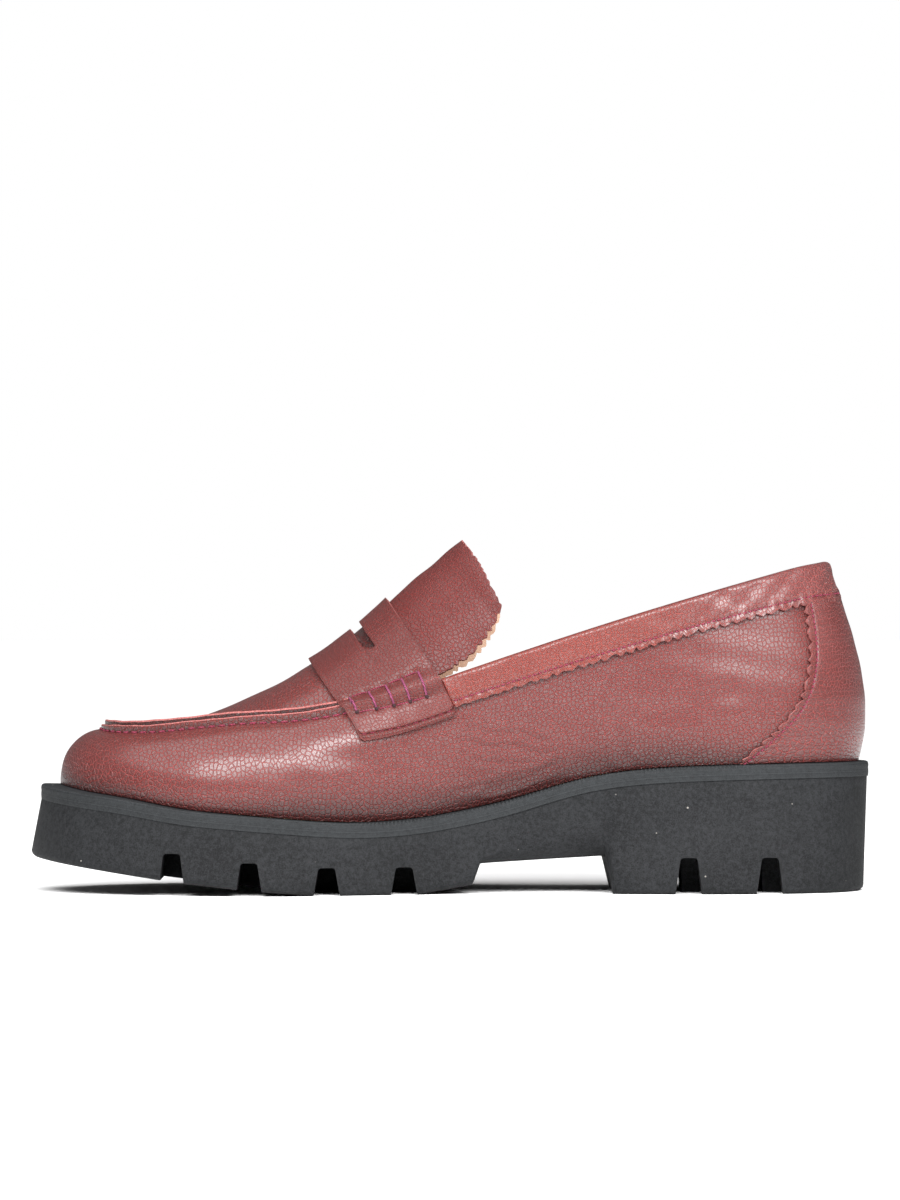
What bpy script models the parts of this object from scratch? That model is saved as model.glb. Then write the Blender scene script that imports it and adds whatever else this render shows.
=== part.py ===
"""Chunky lug sole penny loafer for a right foot, standing on the floor.

Metres, +Z up, toe towards -X, inner side of the foot towards -Y.
The shoe is laid out with x = 0 at the heel end of the feather line, where upper and sole meet.
At the end the whole shoe is moved so that its box is centred over the origin.
"""
import bisect
import math

import bpy
import numpy as np

# Sizes of the last and upper
UPPER_LENGTH = 0.2641        # feather line, heel to toe
BALL_WIDTH = 0.100           # width of the outsole at the ball, which all widths follow
SEAT_HEIGHT = 0.043          # top of the sole under the heel
QUARTER_RISE = 0.066         # collar above the sole at the back
VAMP_CROWN = 0.0263          # ridge above the seam at the throat
TONGUE_RISE = 0.0471         # tip of the tongue above the throat corner
WALL = 0.002                 # leather with its lining
GAP = 0.0003                 # between pieces that touch

# Sizes of the leather pieces laid on the upper
OVERLAY = 0.0012
BAND_FRONT = 0.0102          # depth of the collar band at the strap
BAND_BACK = 0.0134           # and at the heel
STRAP_THICKNESS = 0.0018
STRAP_ROLL = 0.0022          # the strap's roll over the seam
TONGUE_THICKNESS = 0.0022
TONGUE_TUCK = 0.0008         # tongue's ridge below the line of its table, to clear the strap
LIP_HEIGHT = 0.0039
LIP_WIDTH = 0.0026

# Sizes of the sole
WELT_THICKNESS = 0.0046
WELT_PROUD = 0.0004
WELT_SHELF = 0.0062          # how far the welt reaches in under the upper
WELT_ROUND = 0.0008
INSOLE_RISE = 0.0020
TOE_SPRING = 0.0132
SPRING_SHAPE = 1.55          # how late the toe spring rises
REAR_SPRING = 0.0030         # rise at the back of the forepart
HEEL_LENGTH = 0.0868
FOREPART_LENGTH = 0.1463
FLAT_LENGTH = 0.026          # flat spot under the ball
FLAT_BACK = 0.018            # from the forepart's back end to the flat spot
STEP_RUN = 0.0032            # length over which the sole steps up to the waist
CORNER_BACK = 0.0018         # the heel's front corners behind the middle of its front face
WAIST_FRONT = 0.0093         # underside of the waist at the forepart
WAIST_BACK = 0.0123          # and at the heel
COVE_FRONT = 0.0022          # how much higher the inner edge of the waist is
COVE_BACK = 0.0090
COVE_INSET = 0.012
OUTER_COVE = 0.6             # cove on the outer side against the inner one
EDGE_ROUND = 0.0020
LUG_DEPTH = 0.0091
HEEL_LUG_DEPTH = 0.0120
GROOVE_FOOT = 0.0100         # groove width at the floor
GROOVE_HEAD = 0.0058         # and at its top
GROOVE_ROUND = 0.0012
GROOVE_PITCH = 0.0252
GROOVES = 4
HEEL_GROOVES = 2
GROOVE_FRONT = 0.0487        # first groove from the toe
HEEL_GROOVE_BACK = 0.0339    # rear heel groove from the back
HEEL_GROOVE_PITCH = 0.0267
SIDE_LUG = 0.017             # side lugs end this far from the middle
CHANNEL = 0.0045
CHANNEL_STEP = 0.0018        # top of a channel below the tops of the grooves that run into it
CENTRE_GROOVE = 0.0080
HEEL_CENTRE_SHIFT = 0.0062

# How finely the forms are cut
ROW_STEPS = 3                # columns from one row of the table to the next
SOLE_STEPS = 3
STEP_CLEAR = 0.08            # nearest that an even section comes to a step's, in ribs
WALL_STEPS = 6
CROWN_STEPS = 5
TONGUE_STEPS = 8             # along the tongue, and from each edge up to its ridge
BAND_STEPS = 3
CHANNEL_STEPS = 6
WALK_STEPS = 60              # for measuring down the wall
PLACE_STEPS = 600            # for finding the rib at a given x
SLOPE = 0.02                 # step used to find a surface's direction

# One row for each rib of the upper, from the heel to the toe.
# along, top_along: places of the rib's foot and top as shares of UPPER_LENGTH.
# inner, outer, top_inner, top_outer, swell, shoulder, reach, flare: shares of BALL_WIDTH.
# seat: share of SEAT_HEIGHT. rise, drop: shares of QUARTER_RISE. lift, fall: shares of the rib.
RIB_COLUMNS = ("along", "inner", "outer", "seat", "top_along", "top_inner", "top_outer", "rise", "drop",
               "swell", "lift", "shoulder", "fall", "reach", "flare")
RIBS = (
    (0.0000, 0.000, 0.000, 1.000, 0.0371, 0.000, 0.000, 1.000, 0.000, 0.072, 0.33, 0.070, 0.33, 0.045, -0.012),
    (0.0155, 0.132, 0.132, 1.000, 0.0458, 0.105, 0.105, 0.992, 0.000, 0.065, 0.33, 0.060, 0.33, 0.045, -0.012),
    (0.0496, 0.223, 0.223, 0.999, 0.0697, 0.180, 0.180, 0.976, 0.005, 0.054, 0.33, 0.043, 0.33, 0.045, -0.010),
    (0.1075, 0.283, 0.285, 0.993, 0.1170, 0.245, 0.248, 0.929, 0.015, 0.040, 0.33, 0.022, 0.33, 0.043, -0.006),
    (0.1795, 0.306, 0.315, 0.981, 0.1833, 0.285, 0.298, 0.861, 0.030, 0.034, 0.33, 0.012, 0.33, 0.042, -0.003),
    (0.2590, 0.300, 0.325, 0.956, 0.2628, 0.310, 0.330, 0.782, 0.045, 0.032, 0.33, 0.006, 0.33, 0.042, -0.006),
    (0.3423, 0.275, 0.325, 0.881, 0.3461, 0.325, 0.350, 0.726, 0.045, 0.035, 0.33, 0.006, 0.33, 0.041, -0.012),
    (0.4256, 0.265, 0.340, 0.735, 0.4332, 0.330, 0.365, 0.706, 0.040, 0.042, 0.33, 0.012, 0.33, 0.040, -0.012),
    (0.5013, 0.285, 0.370, 0.628, 0.5203, 0.335, 0.380, 0.656, 0.020, 0.048, 0.33, 0.028, 0.30, 0.040, 0.000),
    (0.5695, 0.330, 0.405, 0.567, 0.5809, 0.335, 0.380, 0.608, 0.010, 0.048, 0.33, 0.055, 0.24, 0.040, 0.006),
    (0.6376, 0.385, 0.445, 0.552, 0.6414, 0.335, 0.375, 0.549, 0.016, 0.046, 0.33, 0.085, 0.14, 0.040, 0.010),
    (0.7058, 0.435, 0.470, 0.579, 0.7020, 0.330, 0.365, 0.489, 0.028, 0.042, 0.33, 0.105, 0.09, 0.040, 0.010),
    (0.7740, 0.452, 0.470, 0.616, 0.7664, 0.318, 0.340, 0.447, 0.030, 0.040, 0.35, 0.115, 0.07, 0.041, 0.010),
    (0.8421, 0.430, 0.430, 0.660, 0.8270, 0.290, 0.300, 0.395, 0.030, 0.032, 0.38, 0.112, 0.05, 0.044, 0.014),
    (0.9027, 0.375, 0.355, 0.728, 0.8800, 0.245, 0.245, 0.329, 0.028, 0.020, 0.44, 0.102, 0.04, 0.049, 0.020),
    (0.9519, 0.290, 0.255, 0.772, 0.9178, 0.180, 0.170, 0.297, 0.020, 0.012, 0.50, 0.096, 0.03, 0.054, 0.028),
    (0.9860, 0.165, 0.135, 0.807, 0.9387, 0.095, 0.085, 0.282, 0.008, 0.006, 0.54, 0.091, 0.02, 0.058, 0.034),
    (1.0000, 0.000, 0.000, 0.823, 0.9443, 0.000, 0.000, 0.277, 0.000, 0.005, 0.55, 0.090, 0.02, 0.060, 0.036),
)
TOE = len(RIBS) - 1
AROUND = 2 * TOE             # ribs all the way round

# The ridge of the apron, a row for each rib from the back edge of the strap to the toe.
# ridge: place as a share of UPPER_LENGTH. crown: height over the rib's top as a share of VAMP_CROWN.
STRAP_BACK = 8
STRAP_FRONT = 10
CREST_COLUMNS = ("ridge", "crown")
CRESTS = (
    (0.5850, 1.000), (0.6345, 0.765), (0.6831, 0.603), (0.7285, 0.458), (0.7777, 0.279),
    (0.8270, 0.145), (0.8648, 0.112), (0.8913, 0.082), (0.9065, 0.049), (0.9140, 0.026),
)
CROWN_WIDTH = 0.55           # flatness of the apron over its ridge
CROWN_SIDE = 0.50            # steepness of the apron beside the seam
CROWN_LEAN = 0.12            # how far it leans in there, as a share of the half width

# The tongue, a row for each cross section from the throat to its free end.
# ridge, edge: places as shares of UPPER_LENGTH. inner, outer: shares of BALL_WIDTH.
# crown, side, outer_side: heights over the throat corner as shares of TONGUE_RISE.
TONGUE_COLUMNS = ("ridge", "crown", "edge", "side", "outer_side", "inner", "outer")
TONGUE = (
    (0.6149, 0.402, 0.5530, -0.020, -0.030, 0.300, 0.330),
    (0.5922, 0.522, 0.5203, 0.045, 0.000, 0.295, 0.320),
    (0.5619, 0.681, 0.4850, 0.160, 0.100, 0.285, 0.305),
    (0.5278, 0.841, 0.4580, 0.340, 0.270, 0.270, 0.285),
    (0.4938, 1.000, 0.4438, 0.517, 0.447, 0.255, 0.265),
)
THROAT_STEP = 2              # columns from the strap's back edge to the throat, under the strap

# Places on the strap, as shares from its front edge, and on a rib, where 1 is the seam and 2 the ridge
STRAP_ACROSS = (0.0, 0.20, 0.38, 0.53, 0.67, 0.84, 1.0)
SLOT_SPAN = (3, 4)
STRAP_FOOT_FRONT = 0.635     # the strap's lower end, at its front and back corners
STRAP_FOOT_BACK = 0.70
STRAP_LEAN_FRONT = 0.25      # how far the strap's edges lean back below the seam, in ribs
STRAP_LEAN_BACK = 0.20
STRAP_FALL = (1.0, 0.75, 0.50, 0.29, 0.14)      # rows below the seam, as shares of the way to the foot
STRAP_ROWS = (1.0, 1.04, 1.08, 1.14, 1.26, 1.40, 1.54, 1.70, 1.85)
SLOT_END = 1.54              # how far down the crown the slot reaches
ROLL_HALF = 0.11             # half width of the roll, in shares of a rib
STRAP_CLEAR = 0.04           # from the strap to the collar band, in ribs
SEAM_CLEAR = 0.16            # from the strap to the raised seam, in ribs

# The front edge of the heel counter: rib place at the sole and at each share of its height
COUNTER_EDGE = (3.62, 3.10, 2.60, 2.30, 2.14, 2.08, 2.08)
COUNTER_COLUMNS = 24

LEATHER = ("burgundy_leather", (0.30, 0.045, 0.040), 0.50)
EDGE_LEATHER = ("raw_edge_leather", (0.36, 0.09, 0.08), 0.60)
RUBBER = ("black_rubber", (0.045, 0.047, 0.050), 0.62)
FOOTBED = ("footbed_leather", (0.62, 0.47, 0.30), 0.60)


def clear_scene():
    for thing in list(bpy.data.objects):
        bpy.data.objects.remove(thing, do_unlink=True)


def make_material(finish):
    name, colour, roughness = finish
    material = bpy.data.materials.get(name) or bpy.data.materials.new(name)
    material.use_nodes = True
    shader = material.node_tree.nodes["Principled BSDF"]
    shader.inputs["Base Color"].default_value = (*colour, 1.0)
    shader.inputs["Roughness"].default_value = roughness
    shader.inputs["Metallic"].default_value = 0.0
    return material


def spline(values, closed):
    """A smooth curve through values at 0, 1, 2 and so on. Returns a function of the place along it."""
    values = np.array(values, dtype=float)
    count = len(values)
    grid = np.zeros((count, count))
    bend = np.zeros(values.shape)
    for i in range(count):
        if not closed and i in (0, count - 1):
            grid[i, i] = 1.0
            continue
        before = (i - 1) % count
        after = (i + 1) % count
        grid[i, before] += 1.0
        grid[i, i] += 4.0
        grid[i, after] += 1.0
        bend[i] = 6.0 * (values[before] - 2.0 * values[i] + values[after])
    bend = np.linalg.solve(grid, bend)

    def at(place):
        if closed:
            place = place % count
            low = int(place)
        else:
            low = min(max(int(place), 0), count - 2)
        high = (low + 1) % count
        t = place - low
        s = 1.0 - t
        straight = s * values[low] + t * values[high]
        return straight + ((s ** 3 - s) * bend[low] + (t ** 3 - t) * bend[high]) / 6.0

    return at


def rib_values(row, side):
    """One rib's numbers in metres, for the inner side (-1) or the outer side (+1)."""
    rib = dict(zip(RIB_COLUMNS, row))
    width = rib["inner"] if side < 0 else rib["outer"]
    top_width = rib["top_inner"] if side < 0 else rib["top_outer"]
    drop = 0.0 if side < 0 else rib["drop"]
    seat = rib["seat"] * SEAT_HEIGHT
    rise = (rib["rise"] - drop) * QUARTER_RISE
    return (-rib["along"] * UPPER_LENGTH, side * width * BALL_WIDTH, seat,
            -rib["top_along"] * UPPER_LENGTH, side * top_width * BALL_WIDTH, seat + rise,
            rib["swell"] * BALL_WIDTH, rib["lift"], rib["shoulder"] * BALL_WIDTH, rib["fall"],
            rib["reach"] * BALL_WIDTH, rib["flare"] * BALL_WIDTH)


def round_the_shoe():
    inner = [rib_values(row, -1) for row in RIBS]
    outer = [rib_values(row, 1) for row in RIBS[1:-1]]
    return spline(inner + outer[::-1], closed=True)


RIB_AT = round_the_shoe()
CREST_AT = spline(CRESTS, closed=False)


def feather(place):
    """Foot of the rib, where upper and sole meet."""
    return RIB_AT(place)[0:3]


def rib_top(place):
    """Top of the rib, on the topline or the apron's edge."""
    return RIB_AT(place)[3:6]


def sole_reach(place):
    """How far the sole's top stands out beyond the feather line."""
    return RIB_AT(place)[10]


def sole_flare(place):
    """How much further out the sole's lower edge stands than its top."""
    return RIB_AT(place)[11]


def outward(place):
    """Level direction away from the shoe at the feather line."""
    step = feather(place + SLOPE) - feather(place - SLOPE)
    side = np.array((step[1], -step[0], 0.0))
    return -side / np.linalg.norm(side)


def cubic(a, b, c, d, t):
    s = 1.0 - t
    return s ** 3 * a + 3 * s * s * t * b + 3 * s * t * t * c + t ** 3 * d


def wall_point(place, v):
    """Outer face of the upper from the sole (v = 0) to the seam or topline (v = 1)."""
    rib = RIB_AT(place)
    foot = rib[0:3] + np.array((0.0, 0.0, GAP))
    top = rib[3:6]
    swell, lift, shoulder, fall = rib[6:10]
    away = outward(place)
    up = np.array((0.0, 0.0, top[2] - foot[2]))
    return cubic(foot, foot + away * swell + up * lift, top + away * shoulder - up * fall, top, v)


def half_place(place):
    """The rib's number counted from the heel, the same for both sides."""
    place = place % AROUND
    return place if place <= TOE else AROUND - place


def arch(edge, ridge, t):
    """Half of an arched cross section, which lies in one plane from its edge up to its ridge."""
    rise = ridge - edge
    lean = rise[0] / rise[2]
    climb = CROWN_SIDE * rise[2]
    side = edge + np.array((lean * climb, -CROWN_LEAN * edge[1], climb))
    over = ridge + np.array((0.0, CROWN_WIDTH * edge[1], 0.0))
    return cubic(edge, side, over, ridge, t)


def crown_point(place, v):
    """Outer face of the apron from the seam (v = 1) to the ridge (v = 2)."""
    crest = dict(zip(CREST_COLUMNS, CREST_AT(half_place(place) - STRAP_BACK)))
    seam = 0.5 * (rib_top(place)[2] + rib_top(-place)[2])
    ridge = np.array((-crest["ridge"] * UPPER_LENGTH, 0.0, seam + crest["crown"] * VAMP_CROWN))
    return arch(rib_top(place), ridge, v - 1.0)


def upper_point(place, v):
    return wall_point(place, v) if v <= 1.0 else crown_point(place, v)


def upper_normal(place, v):
    """Direction straight out of the upper's outer face."""
    half = half_place(place)
    if v >= 2.0 - SLOPE / 2:
        normal = np.cross((0.0, 1.0, 0.0), crown_point(half, 2.0) - crown_point(half - SLOPE, 2.0))
        return normal / np.linalg.norm(normal)
    top = 2.0 if half >= STRAP_BACK - SLOPE else 1.0
    climb = upper_point(place, min(v + SLOPE, top)) - upper_point(place, max(v - SLOPE, 0.0))
    onward = upper_point(place + SLOPE, v) - upper_point(place - SLOPE, v)
    normal = np.cross(climb, onward)
    if v <= 0.0:
        normal[2] = 0.0
    return normal / np.linalg.norm(normal)


def on_upper(place, v, height):
    """A point at a height over the upper's outer face."""
    return upper_point(place, v) + height * upper_normal(place, v)


class Sheet:
    """A leather piece as a net of points, each with its outer and inner face."""

    def __init__(self):
        self.keys = {}
        self.outside = []
        self.inside = []
        self.cells = []

    def spot(self, key, outer, inner):
        if key not in self.keys:
            self.keys[key] = len(self.outside)
            self.outside.append(outer)
            self.inside.append(inner)
        return self.keys[key]

    def cell(self, corners):
        corners = [c for i, c in enumerate(corners) if c != corners[i - 1]]
        if len(corners) > 2:
            self.cells.append(corners)

    def solid(self):
        """Both faces and the rim around every free edge."""
        count = len(self.outside)
        edges = set()
        faces = []
        for cell in self.cells:
            faces.append(list(cell))
            faces.append([c + count for c in reversed(cell)])
            edges.update((cell[i - 1], cell[i]) for i in range(len(cell)))
        for a, b in sorted(edges):
            if (b, a) not in edges:
                faces.append([b, a, a + count, b + count])
        return self.outside + self.inside, faces


def add_piece(name, points, faces, finish, crease=35.0):
    mesh = bpy.data.meshes.new(name)
    mesh.from_pydata([tuple(p) for p in points], [], faces)
    mesh.validate()
    mesh.materials.append(make_material(finish))
    mesh.shade_smooth()
    mesh.set_sharp_from_angle(angle=math.radians(crease))
    piece = bpy.data.objects.new(name, mesh)
    bpy.context.scene.collection.objects.link(piece)
    return piece


def build_upper():
    """One hollow wall: the quarters and vamp all round, and the apron over the forefoot."""
    sheet = Sheet()
    around = AROUND * ROW_STEPS
    toe_column = TOE * ROW_STEPS
    throat = STRAP_BACK * ROW_STEPS + THROAT_STEP

    def wall_spot(column, level):
        column = column % around
        place = column / ROW_STEPS
        v = level / WALL_STEPS
        return sheet.spot(("wall", column, level), upper_point(place, v), on_upper(place, v, -WALL))

    def crown_spot(column, step):
        far = step > CROWN_STEPS
        level = 2 * CROWN_STEPS - step if far else step
        if far and column != toe_column:
            column = around - column
        if level == 0:
            return wall_spot(column, WALL_STEPS)
        place = column / ROW_STEPS
        v = 1.0 + level / CROWN_STEPS
        key = ("ridge", half_place(place)) if level == CROWN_STEPS else ("crown", column, level)
        return sheet.spot(key, upper_point(place, v), on_upper(place, v, -WALL))

    for column in range(around):
        for level in range(WALL_STEPS):
            sheet.cell([wall_spot(column, level), wall_spot(column, level + 1),
                        wall_spot(column + 1, level + 1), wall_spot(column + 1, level)])
    for column in range(throat, toe_column):
        for step in range(2 * CROWN_STEPS):
            sheet.cell([crown_spot(column, step), crown_spot(column, step + 1),
                        crown_spot(column + 1, step + 1), crown_spot(column + 1, step)])
    return add_piece("upper", *sheet.solid(), LEATHER)


def build_apron_seam():
    """The raised seam around the toe: two raw edges standing up along the apron's edge."""
    start = STRAP_FRONT + SEAM_CLEAR
    columns = 2 * (TOE - STRAP_FRONT) * ROW_STEPS
    points = []
    faces = []
    for i in range(columns + 1):
        place = start + (AROUND - 2 * start) * i / columns
        base = upper_point(place, 1.0)
        away = outward(place)
        top = base[2] + LIP_HEIGHT
        low = on_upper(place, 1.0 - SLOPE, GAP * 2)
        outer_foot = base + away * LIP_WIDTH / 2
        outer_foot[2] = low[2] + GAP
        inner_foot = base - away * LIP_WIDTH / 2
        inner_foot[2] = base[2] + LIP_WIDTH
        outer_head = np.array((outer_foot[0], outer_foot[1], top))
        inner_head = np.array((inner_foot[0], inner_foot[1], top))
        points += [outer_foot, outer_head, inner_head, inner_foot]
    for i in range(columns):
        for j in range(4):
            a = 4 * i + j
            b = 4 * i + (j + 1) % 4
            faces.append([a, b, b + 4, a + 4])
    last = 4 * columns
    faces.append([3, 2, 1, 0])
    faces.append([last, last + 1, last + 2, last + 3])
    return add_piece("apron_seam", points, faces, EDGE_LEATHER)


def strap_foot(share):
    return STRAP_FOOT_FRONT + (STRAP_FOOT_BACK - STRAP_FOOT_FRONT) * share


def strap_place(share, v):
    """Rib place on the strap at a share of its way from the front edge to the back one."""
    below = max(1.0 - v, 0.0) / (1.0 - strap_foot(share))
    front = STRAP_FRONT - STRAP_LEAN_FRONT * below
    back = STRAP_BACK - STRAP_LEAN_BACK * below
    return front + share * (back - front)


def roll(v):
    """Height of the strap's roll over the seam."""
    share = (v - 1.0) / ROLL_HALF
    return STRAP_ROLL * math.cos(share * math.pi / 2) ** 2 if abs(share) < 1.0 else 0.0


def build_saddle_strap():
    sheet = Sheet()
    levels = [1.0 - fall for fall in STRAP_FALL] + list(STRAP_ROWS)
    path = [(level, False) for level in levels] + [(2.0, False)] + [(level, True) for level in reversed(levels)]
    slot = [i for i, (v, far) in enumerate(path) if v > SLOT_END - SLOPE]

    def spot(across, step):
        v, far = path[step]
        if v < 1.0:
            v = 1.0 - (1.0 - v) * (1.0 - strap_foot(STRAP_ACROSS[across]))
        place = strap_place(STRAP_ACROSS[across], v)
        place = AROUND - place if far else place
        lift = GAP + roll(v)
        return sheet.spot((across, step), on_upper(place, v, lift + STRAP_THICKNESS), on_upper(place, v, lift))

    for across in range(len(STRAP_ACROSS) - 1):
        for step in range(len(path) - 1):
            if across == SLOT_SPAN[0] and slot[0] <= step < slot[-1]:
                continue
            sheet.cell([spot(across, step), spot(across + 1, step),
                        spot(across + 1, step + 1), spot(across, step + 1)])
    return add_piece("saddle_strap", *sheet.solid(), LEATHER)


def tongue_form():
    corner = rib_top(STRAP_BACK)[2]
    rows = []
    for row in TONGUE:
        part = dict(zip(TONGUE_COLUMNS, row))
        rows.append((-part["ridge"] * UPPER_LENGTH, corner + part["crown"] * TONGUE_RISE,
                     -part["edge"] * UPPER_LENGTH, corner + part["side"] * TONGUE_RISE,
                     corner + part["outer_side"] * TONGUE_RISE,
                     part["inner"] * BALL_WIDTH, part["outer"] * BALL_WIDTH))
    return spline(rows, closed=False)


def build_tongue():
    form = tongue_form()
    sheet = Sheet()
    last = len(TONGUE) - 1

    def outer(place, t):
        ridge_x, ridge_z, edge_x, near_z, far_z, near, far = form(place)
        ridge = np.array((ridge_x, 0.0, ridge_z - TONGUE_TUCK))
        if t <= 1.0:
            return arch(np.array((edge_x, -near, near_z)), ridge, t)
        return arch(np.array((edge_x, far, far_z)), ridge, 2.0 - t)

    def normal(place, t):
        climb = outer(place, min(t + SLOPE, 2.0)) - outer(place, max(t - SLOPE, 0.0))
        onward = outer(place - SLOPE, t) - outer(place + SLOPE, t)
        side = np.cross(climb, onward)
        return side / np.linalg.norm(side)

    def spot(i, j):
        place = last * i / TONGUE_STEPS
        t = j / TONGUE_STEPS
        point = outer(place, t)
        return sheet.spot((i, j), point, point - TONGUE_THICKNESS * normal(place, t))

    for i in range(TONGUE_STEPS):
        for j in range(2 * TONGUE_STEPS):
            sheet.cell([spot(i, j), spot(i + 1, j), spot(i + 1, j + 1), spot(i, j + 1)])
    return add_piece("tongue", *sheet.solid(), LEATHER)


def below_top(place, distance):
    """Rib place that lies a distance below the topline, measured down the wall."""
    walked = 0.0
    upper = wall_point(place, 1.0)
    for i in range(WALK_STEPS - 1, -1, -1):
        lower = wall_point(place, i / WALK_STEPS)
        stride = np.linalg.norm(upper - lower)
        if walked + stride >= distance:
            return (i + 1 - (distance - walked) / stride) / WALK_STEPS
        walked += stride
        upper = lower
    return 0.0


def band_depth(place):
    share = half_place(place) / STRAP_BACK
    return BAND_BACK + (BAND_FRONT - BAND_BACK) * share


def build_collar_band():
    """Band around the topline, from one end of the strap round the heel to the other."""
    sheet = Sheet()
    columns = 2 * STRAP_BACK * ROW_STEPS

    def spot(column, level):
        share = 2 * column / columns - 1
        end = strap_place(1.0, below_top(STRAP_BACK, BAND_FRONT * (1.0 - level / BAND_STEPS))) - STRAP_CLEAR
        place = end * share
        foot = below_top(place, band_depth(place))
        v = foot + (1.0 - foot) * level / BAND_STEPS
        return sheet.spot((column, level), on_upper(place, v, GAP + OVERLAY), on_upper(place, v, GAP))

    for column in range(columns):
        for level in range(BAND_STEPS):
            sheet.cell([spot(column, level), spot(column, level + 1),
                        spot(column + 1, level + 1), spot(column + 1, level)])
    return add_piece("collar_band", *sheet.solid(), LEATHER)


def build_heel_counter():
    """Patch over the back of the quarters, from the sole up to the collar band."""
    sheet = Sheet()
    levels = len(COUNTER_EDGE) - 1

    def spot(column, level):
        place = COUNTER_EDGE[level] * (2 * column / COUNTER_COLUMNS - 1)
        top = below_top(place, band_depth(place) + GAP)
        v = top * level / levels
        return sheet.spot((column, level), on_upper(place, v, GAP + OVERLAY), on_upper(place, v, GAP))

    for column in range(COUNTER_COLUMNS):
        for level in range(levels):
            sheet.cell([spot(column, level), spot(column, level + 1),
                        spot(column + 1, level + 1), spot(column + 1, level)])
    return add_piece("heel_counter", *sheet.solid(), LEATHER)


def outline(place, reach):
    """Point beside the feather line, outside it by the reach."""
    return feather(place) + outward(place) * reach


def ring_piece(name, finish, places, profile):
    """A closed strip around the shoe. profile gives the reach and height of each corner at a place."""
    points = []
    faces = []
    count = len(places)
    for place in places:
        seat = feather(place)[2]
        for reach, height in profile(place):
            corner = outline(place, reach)
            corner[2] = seat + height
            points.append(corner)
    corners = len(points) // count
    for i in range(count):
        for j in range(corners):
            a = i * corners + j
            b = i * corners + (j + 1) % corners
            c = (i + 1) % count * corners
            faces.append([a, b, c + (j + 1) % corners, c + j])
    return add_piece(name, points, faces, finish)


def build_welt():
    side = sole_places()
    places = side + [AROUND - place for place in reversed(side[1:-1])]

    def profile(place):
        reach = sole_reach(place) + WELT_PROUD
        return ((-WELT_SHELF, -WELT_THICKNESS), (reach, -WELT_THICKNESS), (reach, -WELT_ROUND),
                (reach - WELT_ROUND, 0.0), (-WELT_SHELF, 0.0))

    return ring_piece("welt", RUBBER, places, profile)


def ladder_piece(name, finish, places, section):
    """A solid across the shoe. section gives a point for each corner of one side, bottom middle first.

    Its faces are triangles, so that each is flat and is cut cleanly.
    """
    points = []
    keys = {}

    def spot(index, corner, far):
        place = places[index]
        ends = index in (0, len(places) - 1)
        key = (index, corner, far and not ends)
        if key not in keys:
            keys[key] = len(points)
            points.append(section(AROUND - place if far and not ends else place)[corner])
        return keys[key]

    faces = []
    corners = len(section(places[1]))
    loop = [(corner, False) for corner in range(corners)] + [(corner, True) for corner in reversed(range(corners))]
    for i in range(len(places) - 1):
        for j, (corner, far) in enumerate(loop):
            other, other_far = loop[(j + 1) % len(loop)]
            ring = [spot(i, corner, far), spot(i, other, other_far),
                    spot(i + 1, other, other_far), spot(i + 1, corner, far)]
            ring = [c for k, c in enumerate(ring) if c != ring[k - 1]]
            faces += [[ring[0], ring[k], ring[k + 1]] for k in range(1, len(ring) - 1)]
    return add_piece(name, points, faces, finish)


def build_insole():
    """Footbed over the welt, and the filling inside the welt."""
    clear = WALL + 2 * GAP

    def section(place):
        def corner(reach, height):
            point = outline(place, reach)
            point[2] = feather(place)[2] + height
            return point

        return (corner(-WELT_SHELF - GAP, -WELT_THICKNESS), corner(-WELT_SHELF - GAP, GAP),
                corner(-clear, GAP), corner(-clear, INSOLE_RISE))

    return ladder_piece("insole", FOOTBED, sole_places(), section)


def share_between(value, start, end):
    return min(max((value - start) / (end - start), 0.0), 1.0)


HEEL_END = outline(0.0, sole_reach(0.0))[0]
TOE_END = outline(TOE, sole_reach(TOE) + sole_flare(TOE))[0]
BREAST = HEEL_END - HEEL_LENGTH
FOREPART_END = TOE_END + FOREPART_LENGTH
FLAT_END = FOREPART_END - FLAT_BACK
FLAT_START = FLAT_END - FLAT_LENGTH


def tread_height(x):
    """Height of the tread over the floor: level under heel and ball, rising to the toe."""
    spring = share_between(x, FLAT_START, TOE_END)
    rear = share_between(x, FLAT_END, FOREPART_END)
    if x > BREAST - STEP_RUN:
        rear = 0.0
    return TOE_SPRING * spring ** SPRING_SHAPE + REAR_SPRING * rear


def waist_share(x, back=0.0):
    """1 under the arch, 0 under forepart and heel."""
    front_step = share_between(x, FOREPART_END, FOREPART_END + STEP_RUN)
    back_step = share_between(x, BREAST + STEP_RUN / 2 + back, BREAST - STEP_RUN / 2 + back)
    return front_step * back_step


def waist_height(x, cove):
    """Underside of the waist: in the middle where cove is 0, at the edge where it is more."""
    along = share_between(x, FOREPART_END, BREAST)
    middle = WAIST_FRONT + (WAIST_BACK - WAIST_FRONT) * along
    return middle + cove * (COVE_FRONT + (COVE_BACK - COVE_FRONT) * along)


def sole_bottom(x):
    share = waist_share(x)
    return tread_height(x) * (1.0 - share) + waist_height(x, 0.0) * share


def sole_edge(x, cove):
    share = waist_share(x, CORNER_BACK)
    return (tread_height(x) + EDGE_ROUND) * (1.0 - share) + waist_height(x, cove) * share


def place_of(x):
    """Rib place on the inner side where the feather line passes x."""
    places = [TOE * i / PLACE_STEPS for i in range(PLACE_STEPS + 1)]
    return places[bisect.bisect_left([-feather(place)[0] for place in places], -x)]


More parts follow.
